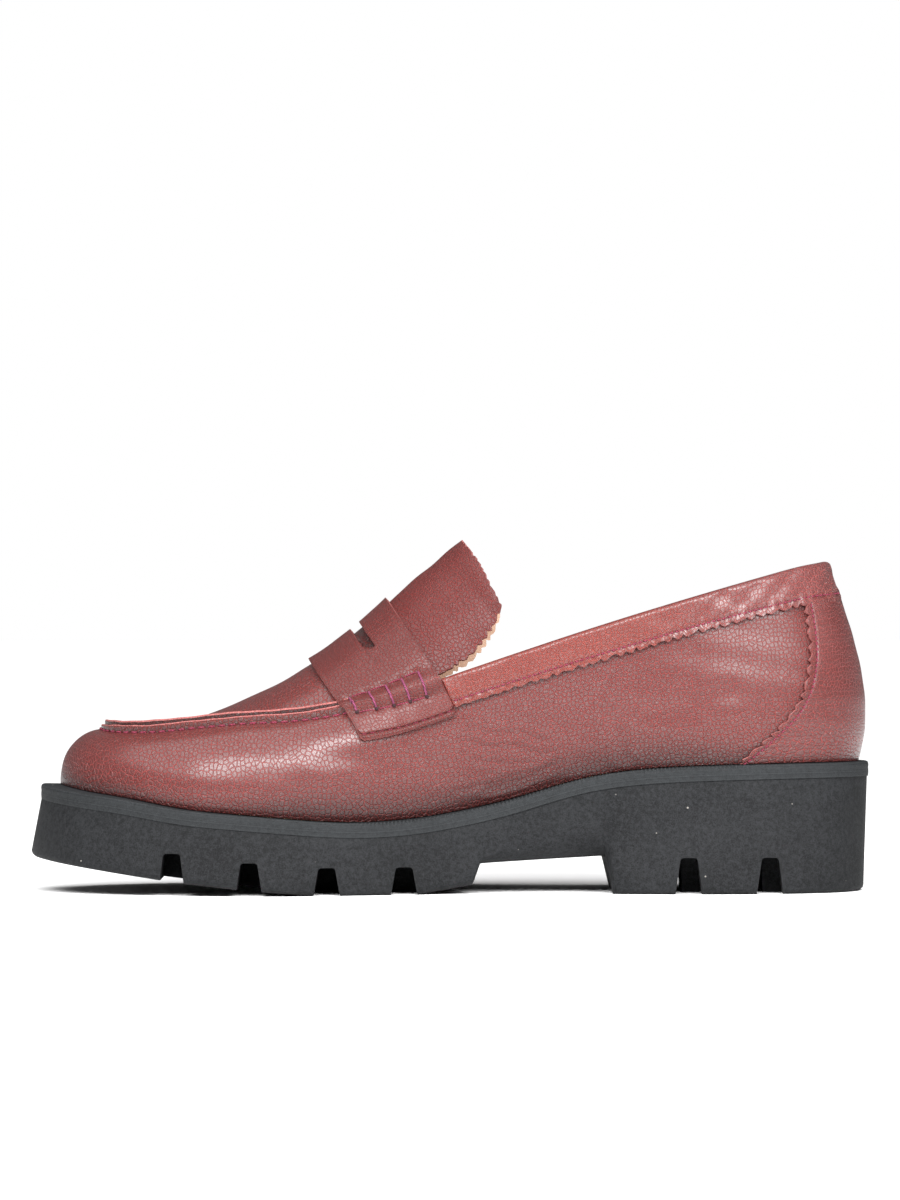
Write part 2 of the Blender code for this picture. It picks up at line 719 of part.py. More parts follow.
def sole_places():
    """Places of the sole's cross sections, with one at each step of its underside."""
    steps = (FOREPART_END, FOREPART_END + STEP_RUN, BREAST - STEP_RUN / 2, BREAST + STEP_RUN / 2,
             BREAST + STEP_RUN / 2 + CORNER_BACK)
    extra = [place_of(x) for x in steps]
    even = [i / SOLE_STEPS for i in range(SOLE_STEPS * TOE + 1)]
    return sorted([place for place in even if min(abs(place - e) for e in extra) > STEP_CLEAR] + extra)


def add_cutter(name, points, faces):
    cutter = add_piece(name, points, faces, RUBBER)
    cutter.hide_render = True
    cutter.display_type = 'WIRE'
    return cutter


def groove_cutter(name, grooves, y_ranges, foot, head, round_off):
    """Prisms along Y, one for each groove and range, as a cutter. A groove is (x, height of its top)."""
    points = []
    faces = []
    for x, top in grooves:
        for low, high in y_ranges:
            base = len(points)
            outline_xz = ((-foot / 2, -EDGE_ROUND), (foot / 2, -EDGE_ROUND), (head / 2, top - round_off),
                          (head / 2 - round_off, top), (round_off - head / 2, top), (-head / 2, top - round_off))
            for y in (low, high):
                points += [(x + dx, y, z) for dx, z in outline_xz]
            count = len(outline_xz)
            faces.append([base + k for k in range(count)])
            faces.append([base + count + k for k in reversed(range(count))])
            for k in range(count):
                after = (k + 1) % count
                faces.append([base + after, base + k, base + count + k, base + count + after])
    return add_cutter(name, points, faces)


def channel_cutter(name, runs, middles, depth):
    """Long channels along X. A run is (start, end)."""
    points = []
    faces = []
    for start, end in runs:
        for middle in middles:
            base = len(points)
            for i in range(CHANNEL_STEPS + 1):
                x = start + (end - start) * i / CHANNEL_STEPS
                top = tread_height(x) + depth
                points += [(x, middle - CHANNEL / 2, -EDGE_ROUND), (x, middle + CHANNEL / 2, -EDGE_ROUND),
                           (x, middle + CHANNEL / 2, top), (x, middle - CHANNEL / 2, top)]
            for i in range(CHANNEL_STEPS):
                for k in range(4):
                    a = base + 4 * i + k
                    b = base + 4 * i + (k + 1) % 4
                    faces.append([a, b, b + 4, a + 4])
            last = base + 4 * CHANNEL_STEPS
            faces.append([base + 3, base + 2, base + 1, base])
            faces.append([last, last + 1, last + 2, last + 3])
    return add_cutter(name, points, faces)


def build_outsole():
    """The lugged unit: forepart with toe spring, carved waist and heel, with its grooves cut out."""
    def section(place):
        reach = sole_reach(place)
        flare = sole_flare(place)
        cove = 1.0 if place <= TOE else OUTER_COVE
        top = outline(place, reach)
        top[2] -= WELT_THICKNESS + GAP
        edge = outline(place, reach + flare)
        x = feather(place)[0]
        share = waist_share(x)
        inset = EDGE_ROUND + (COVE_INSET - EDGE_ROUND) * share
        foot = outline(place, reach + flare - inset)
        edge[2] = sole_edge(x, cove)
        foot[2] = sole_bottom(x)
        return foot, edge, top

    outsole = ladder_piece("outsole", RUBBER, sole_places(), section)

    beyond = BALL_WIDTH
    side_grooves = []
    centre_grooves = []
    for i in range(GROOVES):
        x = TOE_END + GROOVE_FRONT + GROOVE_PITCH * i
        side_grooves.append((x, tread_height(x) + LUG_DEPTH))
        if i < GROOVES - 1:
            between = x + GROOVE_PITCH / 2
            centre_grooves.append((between, tread_height(between) + LUG_DEPTH))
    heel_grooves = []
    heel_centres = []
    for i in range(HEEL_GROOVES):
        x = HEEL_END - HEEL_GROOVE_BACK - HEEL_GROOVE_PITCH * i
        heel_grooves.append((x, HEEL_LUG_DEPTH))
        heel_centres.append((x - HEEL_CENTRE_SHIFT, HEEL_LUG_DEPTH))
    sides = ((-beyond, -SIDE_LUG), (SIDE_LUG, beyond))
    middle = ((-SIDE_LUG, SIDE_LUG),)
    cutters = [
        groove_cutter("cut_side", side_grooves + heel_grooves, sides, GROOVE_FOOT, GROOVE_HEAD, GROOVE_ROUND),
        groove_cutter("cut_centre", centre_grooves, middle, CENTRE_GROOVE, GROOVE_HEAD, GROOVE_ROUND),
        groove_cutter("cut_heel_centre", heel_centres, middle, GROOVE_FOOT, CENTRE_GROOVE, GROOVE_ROUND),
        channel_cutter("cut_channel", ((side_grooves[0][0] - GROOVE_HEAD, side_grooves[-1][0] + GROOVE_HEAD),),
                       (-SIDE_LUG, SIDE_LUG), LUG_DEPTH - CHANNEL_STEP),
        channel_cutter("cut_heel_channel", ((heel_centres[1][0] - GROOVE_HEAD, heel_grooves[0][0] + GROOVE_HEAD),),
                       (-SIDE_LUG, SIDE_LUG), HEEL_LUG_DEPTH - CHANNEL_STEP),
    ]
    for cutter in cutters:
        cut = outsole.modifiers.new(cutter.name, 'BOOLEAN')
        cut.object = cutter
        cut.operation = 'DIFFERENCE'
        cut.solver = 'EXACT'
    return outsole


def centre_over_origin():
    """Move every piece and cutter so that the shoe's box is centred in plan."""
    low = np.full(3, np.inf)
    high = -low
    for piece in bpy.data.objects:
        if piece.hide_render:
            continue
        for vertex in piece.data.vertices:
            low = np.minimum(low, vertex.co)
            high = np.maximum(high, vertex.co)
    shift = -(low + high) / 2
    for piece in bpy.data.objects:
        piece.location = (shift[0], shift[1], 0.0)


def main():
    clear_scene()
    build_outsole()
    build_welt()
    build_insole()
    build_upper()
    build_apron_seam()
    build_saddle_strap()
    build_tongue()
    build_collar_band()
    build_heel_counter()
    centre_over_origin()


main()
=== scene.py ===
"""Looks of the chunky lug sole loafer: leather, threads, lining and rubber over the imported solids."""
import math
import bpy
import numpy as np
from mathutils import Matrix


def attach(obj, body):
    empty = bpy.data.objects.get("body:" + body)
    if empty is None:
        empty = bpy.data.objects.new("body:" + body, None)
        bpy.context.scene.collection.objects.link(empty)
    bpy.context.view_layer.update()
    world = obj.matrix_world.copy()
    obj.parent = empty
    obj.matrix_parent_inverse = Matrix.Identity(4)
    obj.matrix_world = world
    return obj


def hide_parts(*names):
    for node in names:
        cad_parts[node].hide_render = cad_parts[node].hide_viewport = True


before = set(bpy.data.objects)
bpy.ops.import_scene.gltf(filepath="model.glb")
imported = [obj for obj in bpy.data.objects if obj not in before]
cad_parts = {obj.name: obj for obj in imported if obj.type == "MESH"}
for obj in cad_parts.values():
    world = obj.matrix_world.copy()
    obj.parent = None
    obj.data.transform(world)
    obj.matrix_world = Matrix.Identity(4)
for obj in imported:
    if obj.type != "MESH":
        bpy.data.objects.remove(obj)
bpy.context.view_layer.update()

# Sizes of the shoe, in metres, as its solids have them
UPPER_LENGTH = 0.2641
BALL_WIDTH = 0.100
SEAT_HEIGHT = 0.043
QUARTER_RISE = 0.066
VAMP_CROWN = 0.0263
TONGUE_RISE = 0.0471
WALL = 0.002
GAP = 0.0003
OVERLAY = 0.0012
BAND_FRONT = 0.0102
BAND_BACK = 0.0134
STRAP_THICKNESS = 0.0018
STRAP_ROLL = 0.0022
TONGUE_THICKNESS = 0.0022
TONGUE_TUCK = 0.0008
LIP_HEIGHT = 0.0039
WELT_THICKNESS = 0.0046
WELT_PROUD = 0.0004
WELT_SHELF = 0.0062
WELT_ROUND = 0.0008
INSOLE_RISE = 0.0020
TOE_SPRING = 0.0132
SPRING_SHAPE = 1.55
REAR_SPRING = 0.0030
HEEL_LENGTH = 0.0868
FOREPART_LENGTH = 0.1463
FLAT_LENGTH = 0.026
FLAT_BACK = 0.018
STEP_RUN = 0.0032
CORNER_BACK = 0.0018
WAIST_FRONT = 0.0093
WAIST_BACK = 0.0123
COVE_FRONT = 0.0022
COVE_BACK = 0.0090
COVE_INSET = 0.012
OUTER_COVE = 0.6
EDGE_ROUND = 0.0020
LUG_DEPTH = 0.0091
HEEL_LUG_DEPTH = 0.0120
GROOVE_FOOT = 0.0100
GROOVE_HEAD = 0.0058
GROOVE_ROUND = 0.0012
GROOVES = 4
HEEL_GROOVES = 2
GROOVE_FRONT = 0.0487
GROOVE_PITCH = 0.0252
HEEL_GROOVE_BACK = 0.0339
HEEL_GROOVE_PITCH = 0.0267
SIDE_LUG = 0.017
CHANNEL = 0.0045
CHANNEL_STEP = 0.0018
CENTRE_GROOVE = 0.0080
HEEL_CENTRE_SHIFT = 0.0062
CENTRE = np.array((0.1344, -0.0010488, 0.0))     # from the heel of the feather line to the middle of the shoe
SLOPE = 0.02                 # step used to find a surface's direction
MM = 1000.0

# Sizes of the looks
PINK_PITCH = 0.0041          # pinked teeth of the band and the counter
PINK_DEPTH = 0.0013
TONGUE_PITCH = 0.0030        # pinked teeth across the tongue's free end
TONGUE_SIDE_PITCH = 0.0032   # and along its sides
TONGUE_PINK = 0.0008
TONGUE_ROW = 0.0118          # length of the tongue from the row before last to the last
TONGUE_HALF = 0.034          # from its side to its ridge
PER_RIB = 0.0135             # length along the quarters from one rib to the next
STITCH_PITCH = 0.0018
STITCH_INSET = 0.0021        # machine stitches in from a pinked edge
STITCH_LENGTH = 0.0015
STITCH_SUNK = 0.00010        # how far machine stitches sit in the leather
DENT = 0.00024               # how far they pull it in
DENT_HALF = 0.00055
THREAD = 0.00030             # radius of the machine thread
HAND_THREAD = 0.00036
EDGE_SOFT = 0.0013           # rounding of the lugs
FOLD_ROOM = 0.0010           # how far the quarters' edge stays under the folded collar band
FOLD_RISE = 0.0014           # height of the fold over the topline, outside and under the leather
FOLD_UNDER = 0.0003
FOLD_INSIDE = 0.0045         # how far the band goes down inside
RIB_PITCH = 0.0013           # ribs on the welt's top edge
HOLE_SIZE = 0.00062
CUT_BELOW = 0.004            # how far the groove cutters reach below the floor

# along, inner, outer, seat, top_along, top_inner, top_outer, rise, drop, swell, lift, shoulder, fall, reach, flare
RIBS = np.array((
    (0.0000, 0.000, 0.000, 1.000, 0.0371, 0.000, 0.000, 1.000, 0.000, 0.072, 0.33, 0.070, 0.33, 0.045, -0.012),
    (0.0155, 0.132, 0.132, 1.000, 0.0458, 0.105, 0.105, 0.992, 0.000, 0.065, 0.33, 0.060, 0.33, 0.045, -0.012),
    (0.0496, 0.223, 0.223, 0.999, 0.0697, 0.180, 0.180, 0.976, 0.005, 0.054, 0.33, 0.043, 0.33, 0.045, -0.010),
    (0.1075, 0.283, 0.285, 0.993, 0.1170, 0.245, 0.248, 0.929, 0.015, 0.040, 0.33, 0.022, 0.33, 0.043, -0.006),
    (0.1795, 0.306, 0.315, 0.981, 0.1833, 0.285, 0.298, 0.861, 0.030, 0.034, 0.33, 0.012, 0.33, 0.042, -0.003),
    (0.2590, 0.300, 0.325, 0.956, 0.2628, 0.310, 0.330, 0.782, 0.045, 0.032, 0.33, 0.006, 0.33, 0.042, -0.006),
    (0.3423, 0.275, 0.325, 0.881, 0.3461, 0.325, 0.350, 0.726, 0.045, 0.035, 0.33, 0.006, 0.33, 0.041, -0.012),
    (0.4256, 0.265, 0.340, 0.735, 0.4332, 0.330, 0.365, 0.706, 0.040, 0.042, 0.33, 0.012, 0.33, 0.040, -0.012),
    (0.5013, 0.285, 0.370, 0.628, 0.5203, 0.335, 0.380, 0.656, 0.020, 0.048, 0.33, 0.028, 0.30, 0.040, 0.000),
    (0.5695, 0.330, 0.405, 0.567, 0.5809, 0.335, 0.380, 0.608, 0.010, 0.048, 0.33, 0.055, 0.24, 0.040, 0.006),
    (0.6376, 0.385, 0.445, 0.552, 0.6414, 0.335, 0.375, 0.549, 0.016, 0.046, 0.33, 0.085, 0.14, 0.040, 0.010),
    (0.7058, 0.435, 0.470, 0.579, 0.7020, 0.330, 0.365, 0.489, 0.028, 0.042, 0.33, 0.105, 0.09, 0.040, 0.010),
    (0.7740, 0.452, 0.470, 0.616, 0.7664, 0.318, 0.340, 0.447, 0.030, 0.040, 0.35, 0.115, 0.07, 0.041, 0.010),
    (0.8421, 0.430, 0.430, 0.660, 0.8270, 0.290, 0.300, 0.395, 0.030, 0.032, 0.38, 0.112, 0.05, 0.044, 0.014),
    (0.9027, 0.375, 0.355, 0.728, 0.8800, 0.245, 0.245, 0.329, 0.028, 0.020, 0.44, 0.102, 0.04, 0.049, 0.020),
    (0.9519, 0.290, 0.255, 0.772, 0.9178, 0.180, 0.170, 0.297, 0.020, 0.012, 0.50, 0.096, 0.03, 0.054, 0.028),
    (0.9860, 0.165, 0.135, 0.807, 0.9387, 0.095, 0.085, 0.282, 0.008, 0.006, 0.54, 0.091, 0.02, 0.058, 0.034),
    (1.0000, 0.000, 0.000, 0.823, 0.9443, 0.000, 0.000, 0.277, 0.000, 0.005, 0.55, 0.090, 0.02, 0.060, 0.036),
))
TOE = len(RIBS) - 1
AROUND = 2 * TOE
STRAP_BACK = 8
STRAP_FRONT = 10
# ridge, crown
CRESTS = ((0.5850, 1.000), (0.6345, 0.765), (0.6831, 0.603), (0.7285, 0.458), (0.7777, 0.279),
          (0.8270, 0.145), (0.8648, 0.112), (0.8913, 0.082), (0.9065, 0.049), (0.9140, 0.026))
CROWN_WIDTH = 0.55
CROWN_SIDE = 0.50
CROWN_LEAN = 0.12
# ridge, crown, edge, side, outer_side, inner, outer
TONGUE = ((0.6149, 0.402, 0.5530, -0.020, -0.030, 0.300, 0.330),
          (0.5922, 0.522, 0.5203, 0.045, 0.000, 0.295, 0.320),
          (0.5619, 0.681, 0.4850, 0.160, 0.100, 0.285, 0.305),
          (0.5278, 0.841, 0.4580, 0.340, 0.270, 0.270, 0.285),
          (0.4938, 1.000, 0.4438, 0.517, 0.447, 0.255, 0.265))
SLOT_SHARES = (0.545, 0.66)  # the slot's sides across the strap
SLOT_END = 1.54              # how far down the crown it reaches
STRAP_FOOT_FRONT = 0.635
STRAP_FOOT_BACK = 0.70
STRAP_LEAN_FRONT = 0.25
STRAP_LEAN_BACK = 0.20
ROLL_HALF = 0.11
COUNTER_EDGE = (3.62, 3.10, 2.60, 2.30, 2.14, 2.08, 2.08)    # rib places of its front edge, from the sole up
HAND_SHARES = (0.11, 0.305, 0.50, 0.675, 0.845)             # hand stitches across the strap
HAND_TOP = 1.11
HAND_BOTTOM = 0.895
HEM = 0.865                  # the strap's hem line, as a share of its fall

# Soft creases of the quarters: side, places along and up the shoe in millimetres, half width, depth
CREASES = (
    (-1, ((52, 61), (55, 53), (57, 45)), 1.7, 0.34),
    (-1, ((49, 61), (50.5, 55), (51, 51)), 0.8, 0.20),
    (-1, ((55.5, 61), (57.5, 56), (58.5, 52)), 0.8, 0.20),
    (-1, ((6, 55), (14, 52.5), (22, 53), (31, 50)), 1.1, 0.26),
    (-1, ((4, 50.5), (13, 48), (22, 48.5), (29, 45.5)), 1.0, 0.24),
    (-1, ((8, 44), (18, 42.5), (29, 43)), 1.0, 0.20),
    (-1, ((12, 34), (24, 37.5), (36, 43)), 1.2, 0.40),
    (-1, ((2, 33.5), (14, 36.5), (27, 41)), 0.9, 0.26),
    (-1, ((-40, 44), (-22, 45), (-6, 44)), 3.6, 0.16),
    (-1, ((66, 60), (80, 62), (92, 66)), 3.2, 0.14),
    (1, ((50, 60), (54, 52), (55, 46)), 1.8, 0.34),
    (1, ((5, 53), (15, 51), (27, 50)), 1.3, 0.28),
    (1, ((8, 46), (20, 44.5), (32, 45)), 1.1, 0.24),
    (1, ((10, 35), (24, 38.5), (38, 44)), 1.3, 0.34),
    (1, ((-38, 45), (-20, 46), (-4, 45)), 3.6, 0.16),
)


def spline(values, closed):
    """A smooth curve through values at 0, 1, 2 and so on. Returns a function of the place along it."""
    values = np.array(values, dtype=float)
    count = len(values)
    grid = np.zeros((count, count))
    bend = np.zeros(values.shape)
    for i in range(count):
        if not closed and i in (0, count - 1):
            grid[i, i] = 1.0
            continue
        before, after = (i - 1) % count, (i + 1) % count
        grid[i, before] += 1.0
        grid[i, i] += 4.0
        grid[i, after] += 1.0
        bend[i] = 6.0 * (values[before] - 2.0 * values[i] + values[after])
    bend = np.linalg.solve(grid, bend)

    def at(place):
        place = np.asarray(place, dtype=float)
        place = place % count if closed else place
        low = np.floor(place).astype(int)
        low = low % count if closed else np.clip(low, 0, count - 2)
        high = (low + 1) % count
        t = (place - low)[..., None]
        s = 1.0 - t
        return s * values[low] + t * values[high] + ((s ** 3 - s) * bend[low] + (t ** 3 - t) * bend[high]) / 6.0

    return at


def round_the_shoe():
    (along, inner, outer, seat, top_along, top_inner, top_outer,
     rise, drop, swell, lift, shoulder, fall, reach, flare) = RIBS.T

    def side(sign, width, top_width, fallen):
        seat_z = seat * SEAT_HEIGHT
        return np.stack((-along * UPPER_LENGTH, sign * width * BALL_WIDTH, seat_z, -top_along * UPPER_LENGTH,
                         sign * top_width * BALL_WIDTH, seat_z + (rise - fallen) * QUARTER_RISE,
                         swell * BALL_WIDTH, lift, shoulder * BALL_WIDTH, fall,
                         reach * BALL_WIDTH, flare * BALL_WIDTH), axis=-1)

    near = side(-1, inner, top_inner, 0.0 * drop)
    far = side(1, outer, top_outer, drop)
    return spline(np.concatenate([near, far[1:-1][::-1]]), closed=True)


RIB_AT = round_the_shoe()
CREST_AT = spline(CRESTS, closed=False)


def stack(x, y, z):
    return np.stack(np.broadcast_arrays(x, y, z), axis=-1).astype(float)


def unit(vectors):
    return vectors / np.maximum(np.linalg.norm(vectors, axis=-1, keepdims=True), 1e-12)


def hill(value, middle, width):
    """1 at the middle, falling away smoothly to both sides."""
    return np.exp(-((value - middle) / width) ** 2)


def running(steps):
    """The sum of the steps before each place."""
    return np.concatenate([[0.0], np.cumsum(steps)])


def walked(line):
    """The length walked to each point of a line."""
    return running(np.linalg.norm(np.diff(line, axis=0), axis=1))


def graded(start, *stops):
    """Values from a start to each stop in turn. A stop is its value and the number of steps to it."""
    values = [np.array([start])]
    for stop, steps in stops:
        values.append(np.linspace(values[-1][-1], stop, steps + 1)[1:])
    return np.concatenate(values)


def blend_in(value, low, high):
    """0 below low, 1 above high, and smooth between them."""
    t = np.clip((value - low) / (high - low), 0.0, 1.0)
    return t * t * (3.0 - 2.0 * t)


def feather(place):
    return RIB_AT(place)[..., 0:3]


def rib_top(place):
    return RIB_AT(place)[..., 3:6]


def outward(place):
    place = np.asarray(place, dtype=float)
    step = feather(place + SLOPE) - feather(place - SLOPE)
    return unit(stack(-step[..., 1], step[..., 0], 0.0))


def cubic(a, b, c, d, t):
    s = 1.0 - t
    return s ** 3 * a + 3 * s * s * t * b + 3 * s * t * t * c + t ** 3 * d


def together(*values):
    return np.broadcast_arrays(*(np.asarray(value, dtype=float) for value in values))


def wall_point(place, v):
    """A point of the wall between the sole and the topline or seam, at a share of its height."""
    rib = RIB_AT(place)
    foot = rib[..., 0:3] + np.array((0.0, 0.0, GAP))
    top = rib[..., 3:6]
    away = outward(place)
    up = stack(0.0, 0.0, top[..., 2] - foot[..., 2])
    return cubic(foot, foot + away * rib[..., 6:7] + up * rib[..., 7:8],
                 top + away * rib[..., 8:9] - up * rib[..., 9:10], top, np.asarray(v, dtype=float)[..., None])


def half_place(place):
    """The same place on the inner side, for a place on either."""
    place = np.asarray(place, dtype=float) % AROUND
    return np.where(place <= TOE, place, AROUND - place)


def arch(edge, ridge, t):
    rise = ridge - edge
    height = np.where(np.abs(rise[..., 2]) < 1e-6, 1e-6, rise[..., 2])
    climb = CROWN_SIDE * height
    side = edge + stack(rise[..., 0] / height * climb, -CROWN_LEAN * edge[..., 1], climb)
    over = ridge + stack(0.0, CROWN_WIDTH * edge[..., 1], 0.0)
    return cubic(edge, side, over, ridge, np.asarray(t, dtype=float)[..., None])


def crown_point(place, v):
    """A point of the apron between the seam, at v = 1, and the ridge, at v = 2."""
    place = np.asarray(place, dtype=float)
    crest = CREST_AT(half_place(place) - STRAP_BACK)
    seam = 0.5 * (rib_top(place)[..., 2] + rib_top(-place)[..., 2])
    ridge = stack(-crest[..., 0] * UPPER_LENGTH, 0.0, seam + crest[..., 1] * VAMP_CROWN)
    return arch(rib_top(place), ridge, np.asarray(v, dtype=float) - 1.0)


def upper_point(place, v):
    """A point of the upper: v is 0 at the sole, 1 at the top of the wall and 2 at the ridge."""
    place, v = together(place, v)
    wall, crown = wall_point(place, np.minimum(v, 1.0)), crown_point(place, np.maximum(v, 1.0))
    return np.where((v <= 1.0)[..., None], wall, crown)


def upper_normal(place, v):
    place, v = together(place, v)
    half = half_place(place)
    top = np.where(half >= STRAP_BACK - SLOPE, 2.0, 1.0)
    climb = upper_point(place, np.minimum(v + SLOPE, top)) - upper_point(place, np.maximum(v - SLOPE, 0.0))
    onward = upper_point(place + SLOPE, v) - upper_point(place - SLOPE, v)
    normal = np.cross(climb, onward)
    normal[..., 2] = np.where(v <= 0.0, 0.0, normal[..., 2])
    over = np.cross((0.0, 1.0, 0.0), crown_point(half, 2.0) - crown_point(half - SLOPE, 2.0))
    return unit(np.where((v >= 2.0 - SLOPE / 2)[..., None], over, normal))


def creases(points):
    """How far the leather is pushed out at each point: soft troughs with a low ridge beside them."""
    x, y, z = np.moveaxis((points + CENTRE) * MM, -1, 0)
    height = 0.10 * np.sin(x * 0.21 + z * 0.33) * np.sin(z * 0.27 - x * 0.11 + 1.3)
    for side, path, width, depth in CREASES:
        nearest = np.full(x.shape, 1e9)
        for (x0, z0), (x1, z1) in zip(path, path[1:]):
            along, up = x1 - x0, z1 - z0
            t = np.clip(((x - x0) * along + (z - z0) * up) / (along ** 2 + up ** 2), 0.0, 1.0)
            nearest = np.minimum(nearest, np.hypot(x - x0 - t * along, z - z0 - t * up))
        away = nearest / width
        height = height + depth * (0.65 * hill(away, 1.9, 1.0) - 1.25 * hill(away, 0.0, 1.0)) * (y * side > 12.0)
    return height / MM


def skin(place, v, height=0.0):
    """A point at a height over the leather of the upper, creases and all."""
    base = upper_point(place, v)
    return base + upper_normal(place, v) * (height + creases(base))[..., None]


def below_top(place, distance):
    """Share of the wall's height at a distance walked down it from the top."""
    place, distance = together(place, distance)
    v = np.linspace(1.0, 0.0, 61)
    lines = wall_point(place.reshape(-1, 1), v)
    shares = [np.interp(far, walked(line), v) for far, line in zip(distance.ravel(), lines)]
    return np.array(shares).reshape(place.shape)


def stride(place, v):
    """Length along the wall from one rib to the next."""
    return np.linalg.norm(wall_point(place + 0.1, v) - wall_point(place - 0.1, v), axis=-1) / 0.2


def even_places(line, start, end, count):
    """Places that step evenly along a line, and the length walked to each."""
    fine = np.linspace(start, end, 4 * count)
    far = walked(line(fine))
    lengths = np.linspace(0.0, far[-1], count)
    return np.interp(lengths, far, fine), lengths


def teeth(lengths, shift=0.0, pitch=PINK_PITCH, depth=PINK_DEPTH):
    """Depth of a pinked edge, uneven as cut by hand."""
    drifted = lengths + 0.00055 * np.sin(lengths * 431.0) + 0.00035 * np.sin(lengths * 1130.0 + 2.0)
    phase = (drifted / pitch + shift) % 1.0
    uneven = 1.0 + 0.22 * np.sin(lengths * 900.0) + 0.15 * np.sin(lengths * 2300.0 + 1.0)
    return depth * (1.0 - np.abs(2.0 * phase - 1.0) ** 0.85) * uneven


def numbered(net, closed=False):
    """Point numbers of a net, with the first column again at the end where it closes."""
    index = np.arange(net.shape[0] * net.shape[1]).reshape(net.shape[:2])
    return np.hstack([index, index[:, :1]]) if closed else index


def quads(index, wrap=False):
    """Faces of a net of point numbers."""
    index = np.vstack([index, index[:1]]) if wrap else index
    return np.stack([index[:-1, :-1], index[:-1, 1:], index[1:, 1:], index[1:, :-1]], axis=-1).reshape(-1, 4)


def capped(rings):
    """Points and faces of a body through rings of points, closed at both ends."""
    index = numbered(rings, closed=True)
    return rings.reshape(-1, 3), quads(index).tolist() + [index[0, :-1][::-1].tolist(), index[-1, :-1].tolist()]


def mirrored_rings(near, far):
    """Points and faces of a body from the half sections of both its sides, which meet at its two ends."""
    far[0], far[-1] = near[0], near[-1]
    near_index = numbered(near)
    far_index = near_index + near_index.size
    far_index[0], far_index[-1] = near_index[0], near_index[-1]
    faces = []
    for ring in quads(np.hstack([near_index, far_index[:, ::-1], near_index[:, :1]])).tolist():
        ring = [c for n, c in enumerate(ring) if c != ring[n - 1]]
        if len(set(ring)) > 2:
            faces.append(ring)
    return np.concatenate([near.reshape(-1, 3), far.reshape(-1, 3)]), faces


def joined(bodies):
    """Points and faces of several bodies as one."""
    points, faces = [], []
    for more, sides in bodies:
        faces += [[len(points) + c for c in face] for face in sides]
        points += list(more)
    return np.array(points), faces


def laid_out(net):
    """Distances along and across a net of points, for the grain."""
    onward = np.linalg.norm(np.diff(net, axis=0), axis=-1).mean(axis=1)
    across = np.linalg.norm(np.diff(net, axis=1), axis=-1).mean(axis=0)
    return {"around": np.broadcast_to(running(onward)[:, None], net.shape[:2]).ravel(),
            "up": np.broadcast_to(running(across)[None, :], net.shape[:2]).ravel()}


def both_sides(faces, count):
    """Outer faces, inner faces and the rim between them, with the number of each one's finish."""
    edges = np.concatenate([faces[:, [i, (i + 1) % 4]] for i in range(4)])
    _, first, uses = np.unique(np.sort(edges, axis=1), axis=0, return_index=True, return_counts=True)
    free = edges[first[uses == 1]]
    rim = np.stack([free[:, 1], free[:, 0], free[:, 0] + count, free[:, 1] + count], axis=1)
    finishes = np.repeat((0, 1, 2), (len(faces), len(faces), len(rim)))
    return np.concatenate([faces, faces[:, ::-1] + count, rim]), finishes


def shown(name, data):
    """An object of the scene for some data."""
    thing = bpy.data.objects.new(name, data)
    bpy.context.scene.collection.objects.link(thing)
    return thing


def shade(mesh, crease):
    mesh.shade_smooth()
    mesh.set_sharp_from_angle(angle=math.radians(crease))


def add_piece(name, points, faces, materials, finishes=None, crease=38.0, **marks):
    """A mesh from laid-out points, moved over the middle of the shoe. marks are values kept at the points."""
    mesh = bpy.data.meshes.new(name)
    faces = faces.tolist() if isinstance(faces, np.ndarray) else faces
    mesh.from_pydata((np.asarray(points) + CENTRE).tolist(), [], faces)
    for material in materials:
        mesh.materials.append(material)
    if finishes is not None:
        mesh.polygons.foreach_set("material_index", np.asarray(finishes, dtype=np.int32))
    for mark, values in marks.items():
        mesh.attributes.new(mark, 'FLOAT', 'POINT').data.foreach_set("value", np.asarray(values, dtype=np.float32))
    mesh.validate()
    shade(mesh, crease)
    return shown(name, mesh)


def settle(piece, crease=None):
    """Makes a piece's modifiers part of its mesh."""
    bpy.context.view_layer.update()
    mesh = bpy.data.meshes.new_from_object(piece.evaluated_get(bpy.context.evaluated_depsgraph_get()))
    piece.modifiers.clear()
    piece.data = mesh
    if crease:
        shade(mesh, crease)
    return piece


def soften(piece, width, segments, angle):
    """Rounds the edges of a piece."""
    bevel = piece.modifiers.new("round", 'BEVEL')
    bevel.width = width
    bevel.segments = segments
    bevel.limit_method = 'ANGLE'
    bevel.angle_limit = math.radians(angle)
    bevel.use_clamp_overlap = True
    return settle(piece, 50.0)


def thick_piece(name, outer, inner, faces, leather, **marks):
    """A sheet of leather with its lining, and raw edge around it. A mark is one value or one for each point."""
    count = outer.size // 3
    marks = {mark: np.tile(np.broadcast_to(np.ravel(values), count), 2)
             for mark, values in {"warm": 0.0, "pale": 0.0, **marks}.items()}
    faces, finishes = both_sides(faces, count)
    points = np.concatenate([outer.reshape(-1, 3), inner.reshape(-1, 3)])
    return add_piece(name, points, faces, [leather, LINING, RAW_EDGE], finishes, **marks)


def tube(path, radius, sides):
    """A round thread along points, closed at both ends."""
    along = unit(np.gradient(path, axis=0))
    across = unit(np.cross(along, np.array((0.31, 0.17, 0.94))))
    over = np.cross(along, across)
    turn = np.linspace(0.0, 2 * math.pi, sides, endpoint=False)
    return capped(path[:, None] + radius * (np.cos(turn)[None, :, None] * across[:, None]
                                            + np.sin(turn)[None, :, None] * over[:, None]))


def join_tubes(name, paths, radius, material, sides=8):
    return add_piece(name, *joined(tube(path, radius, sides) for path in paths), [material])


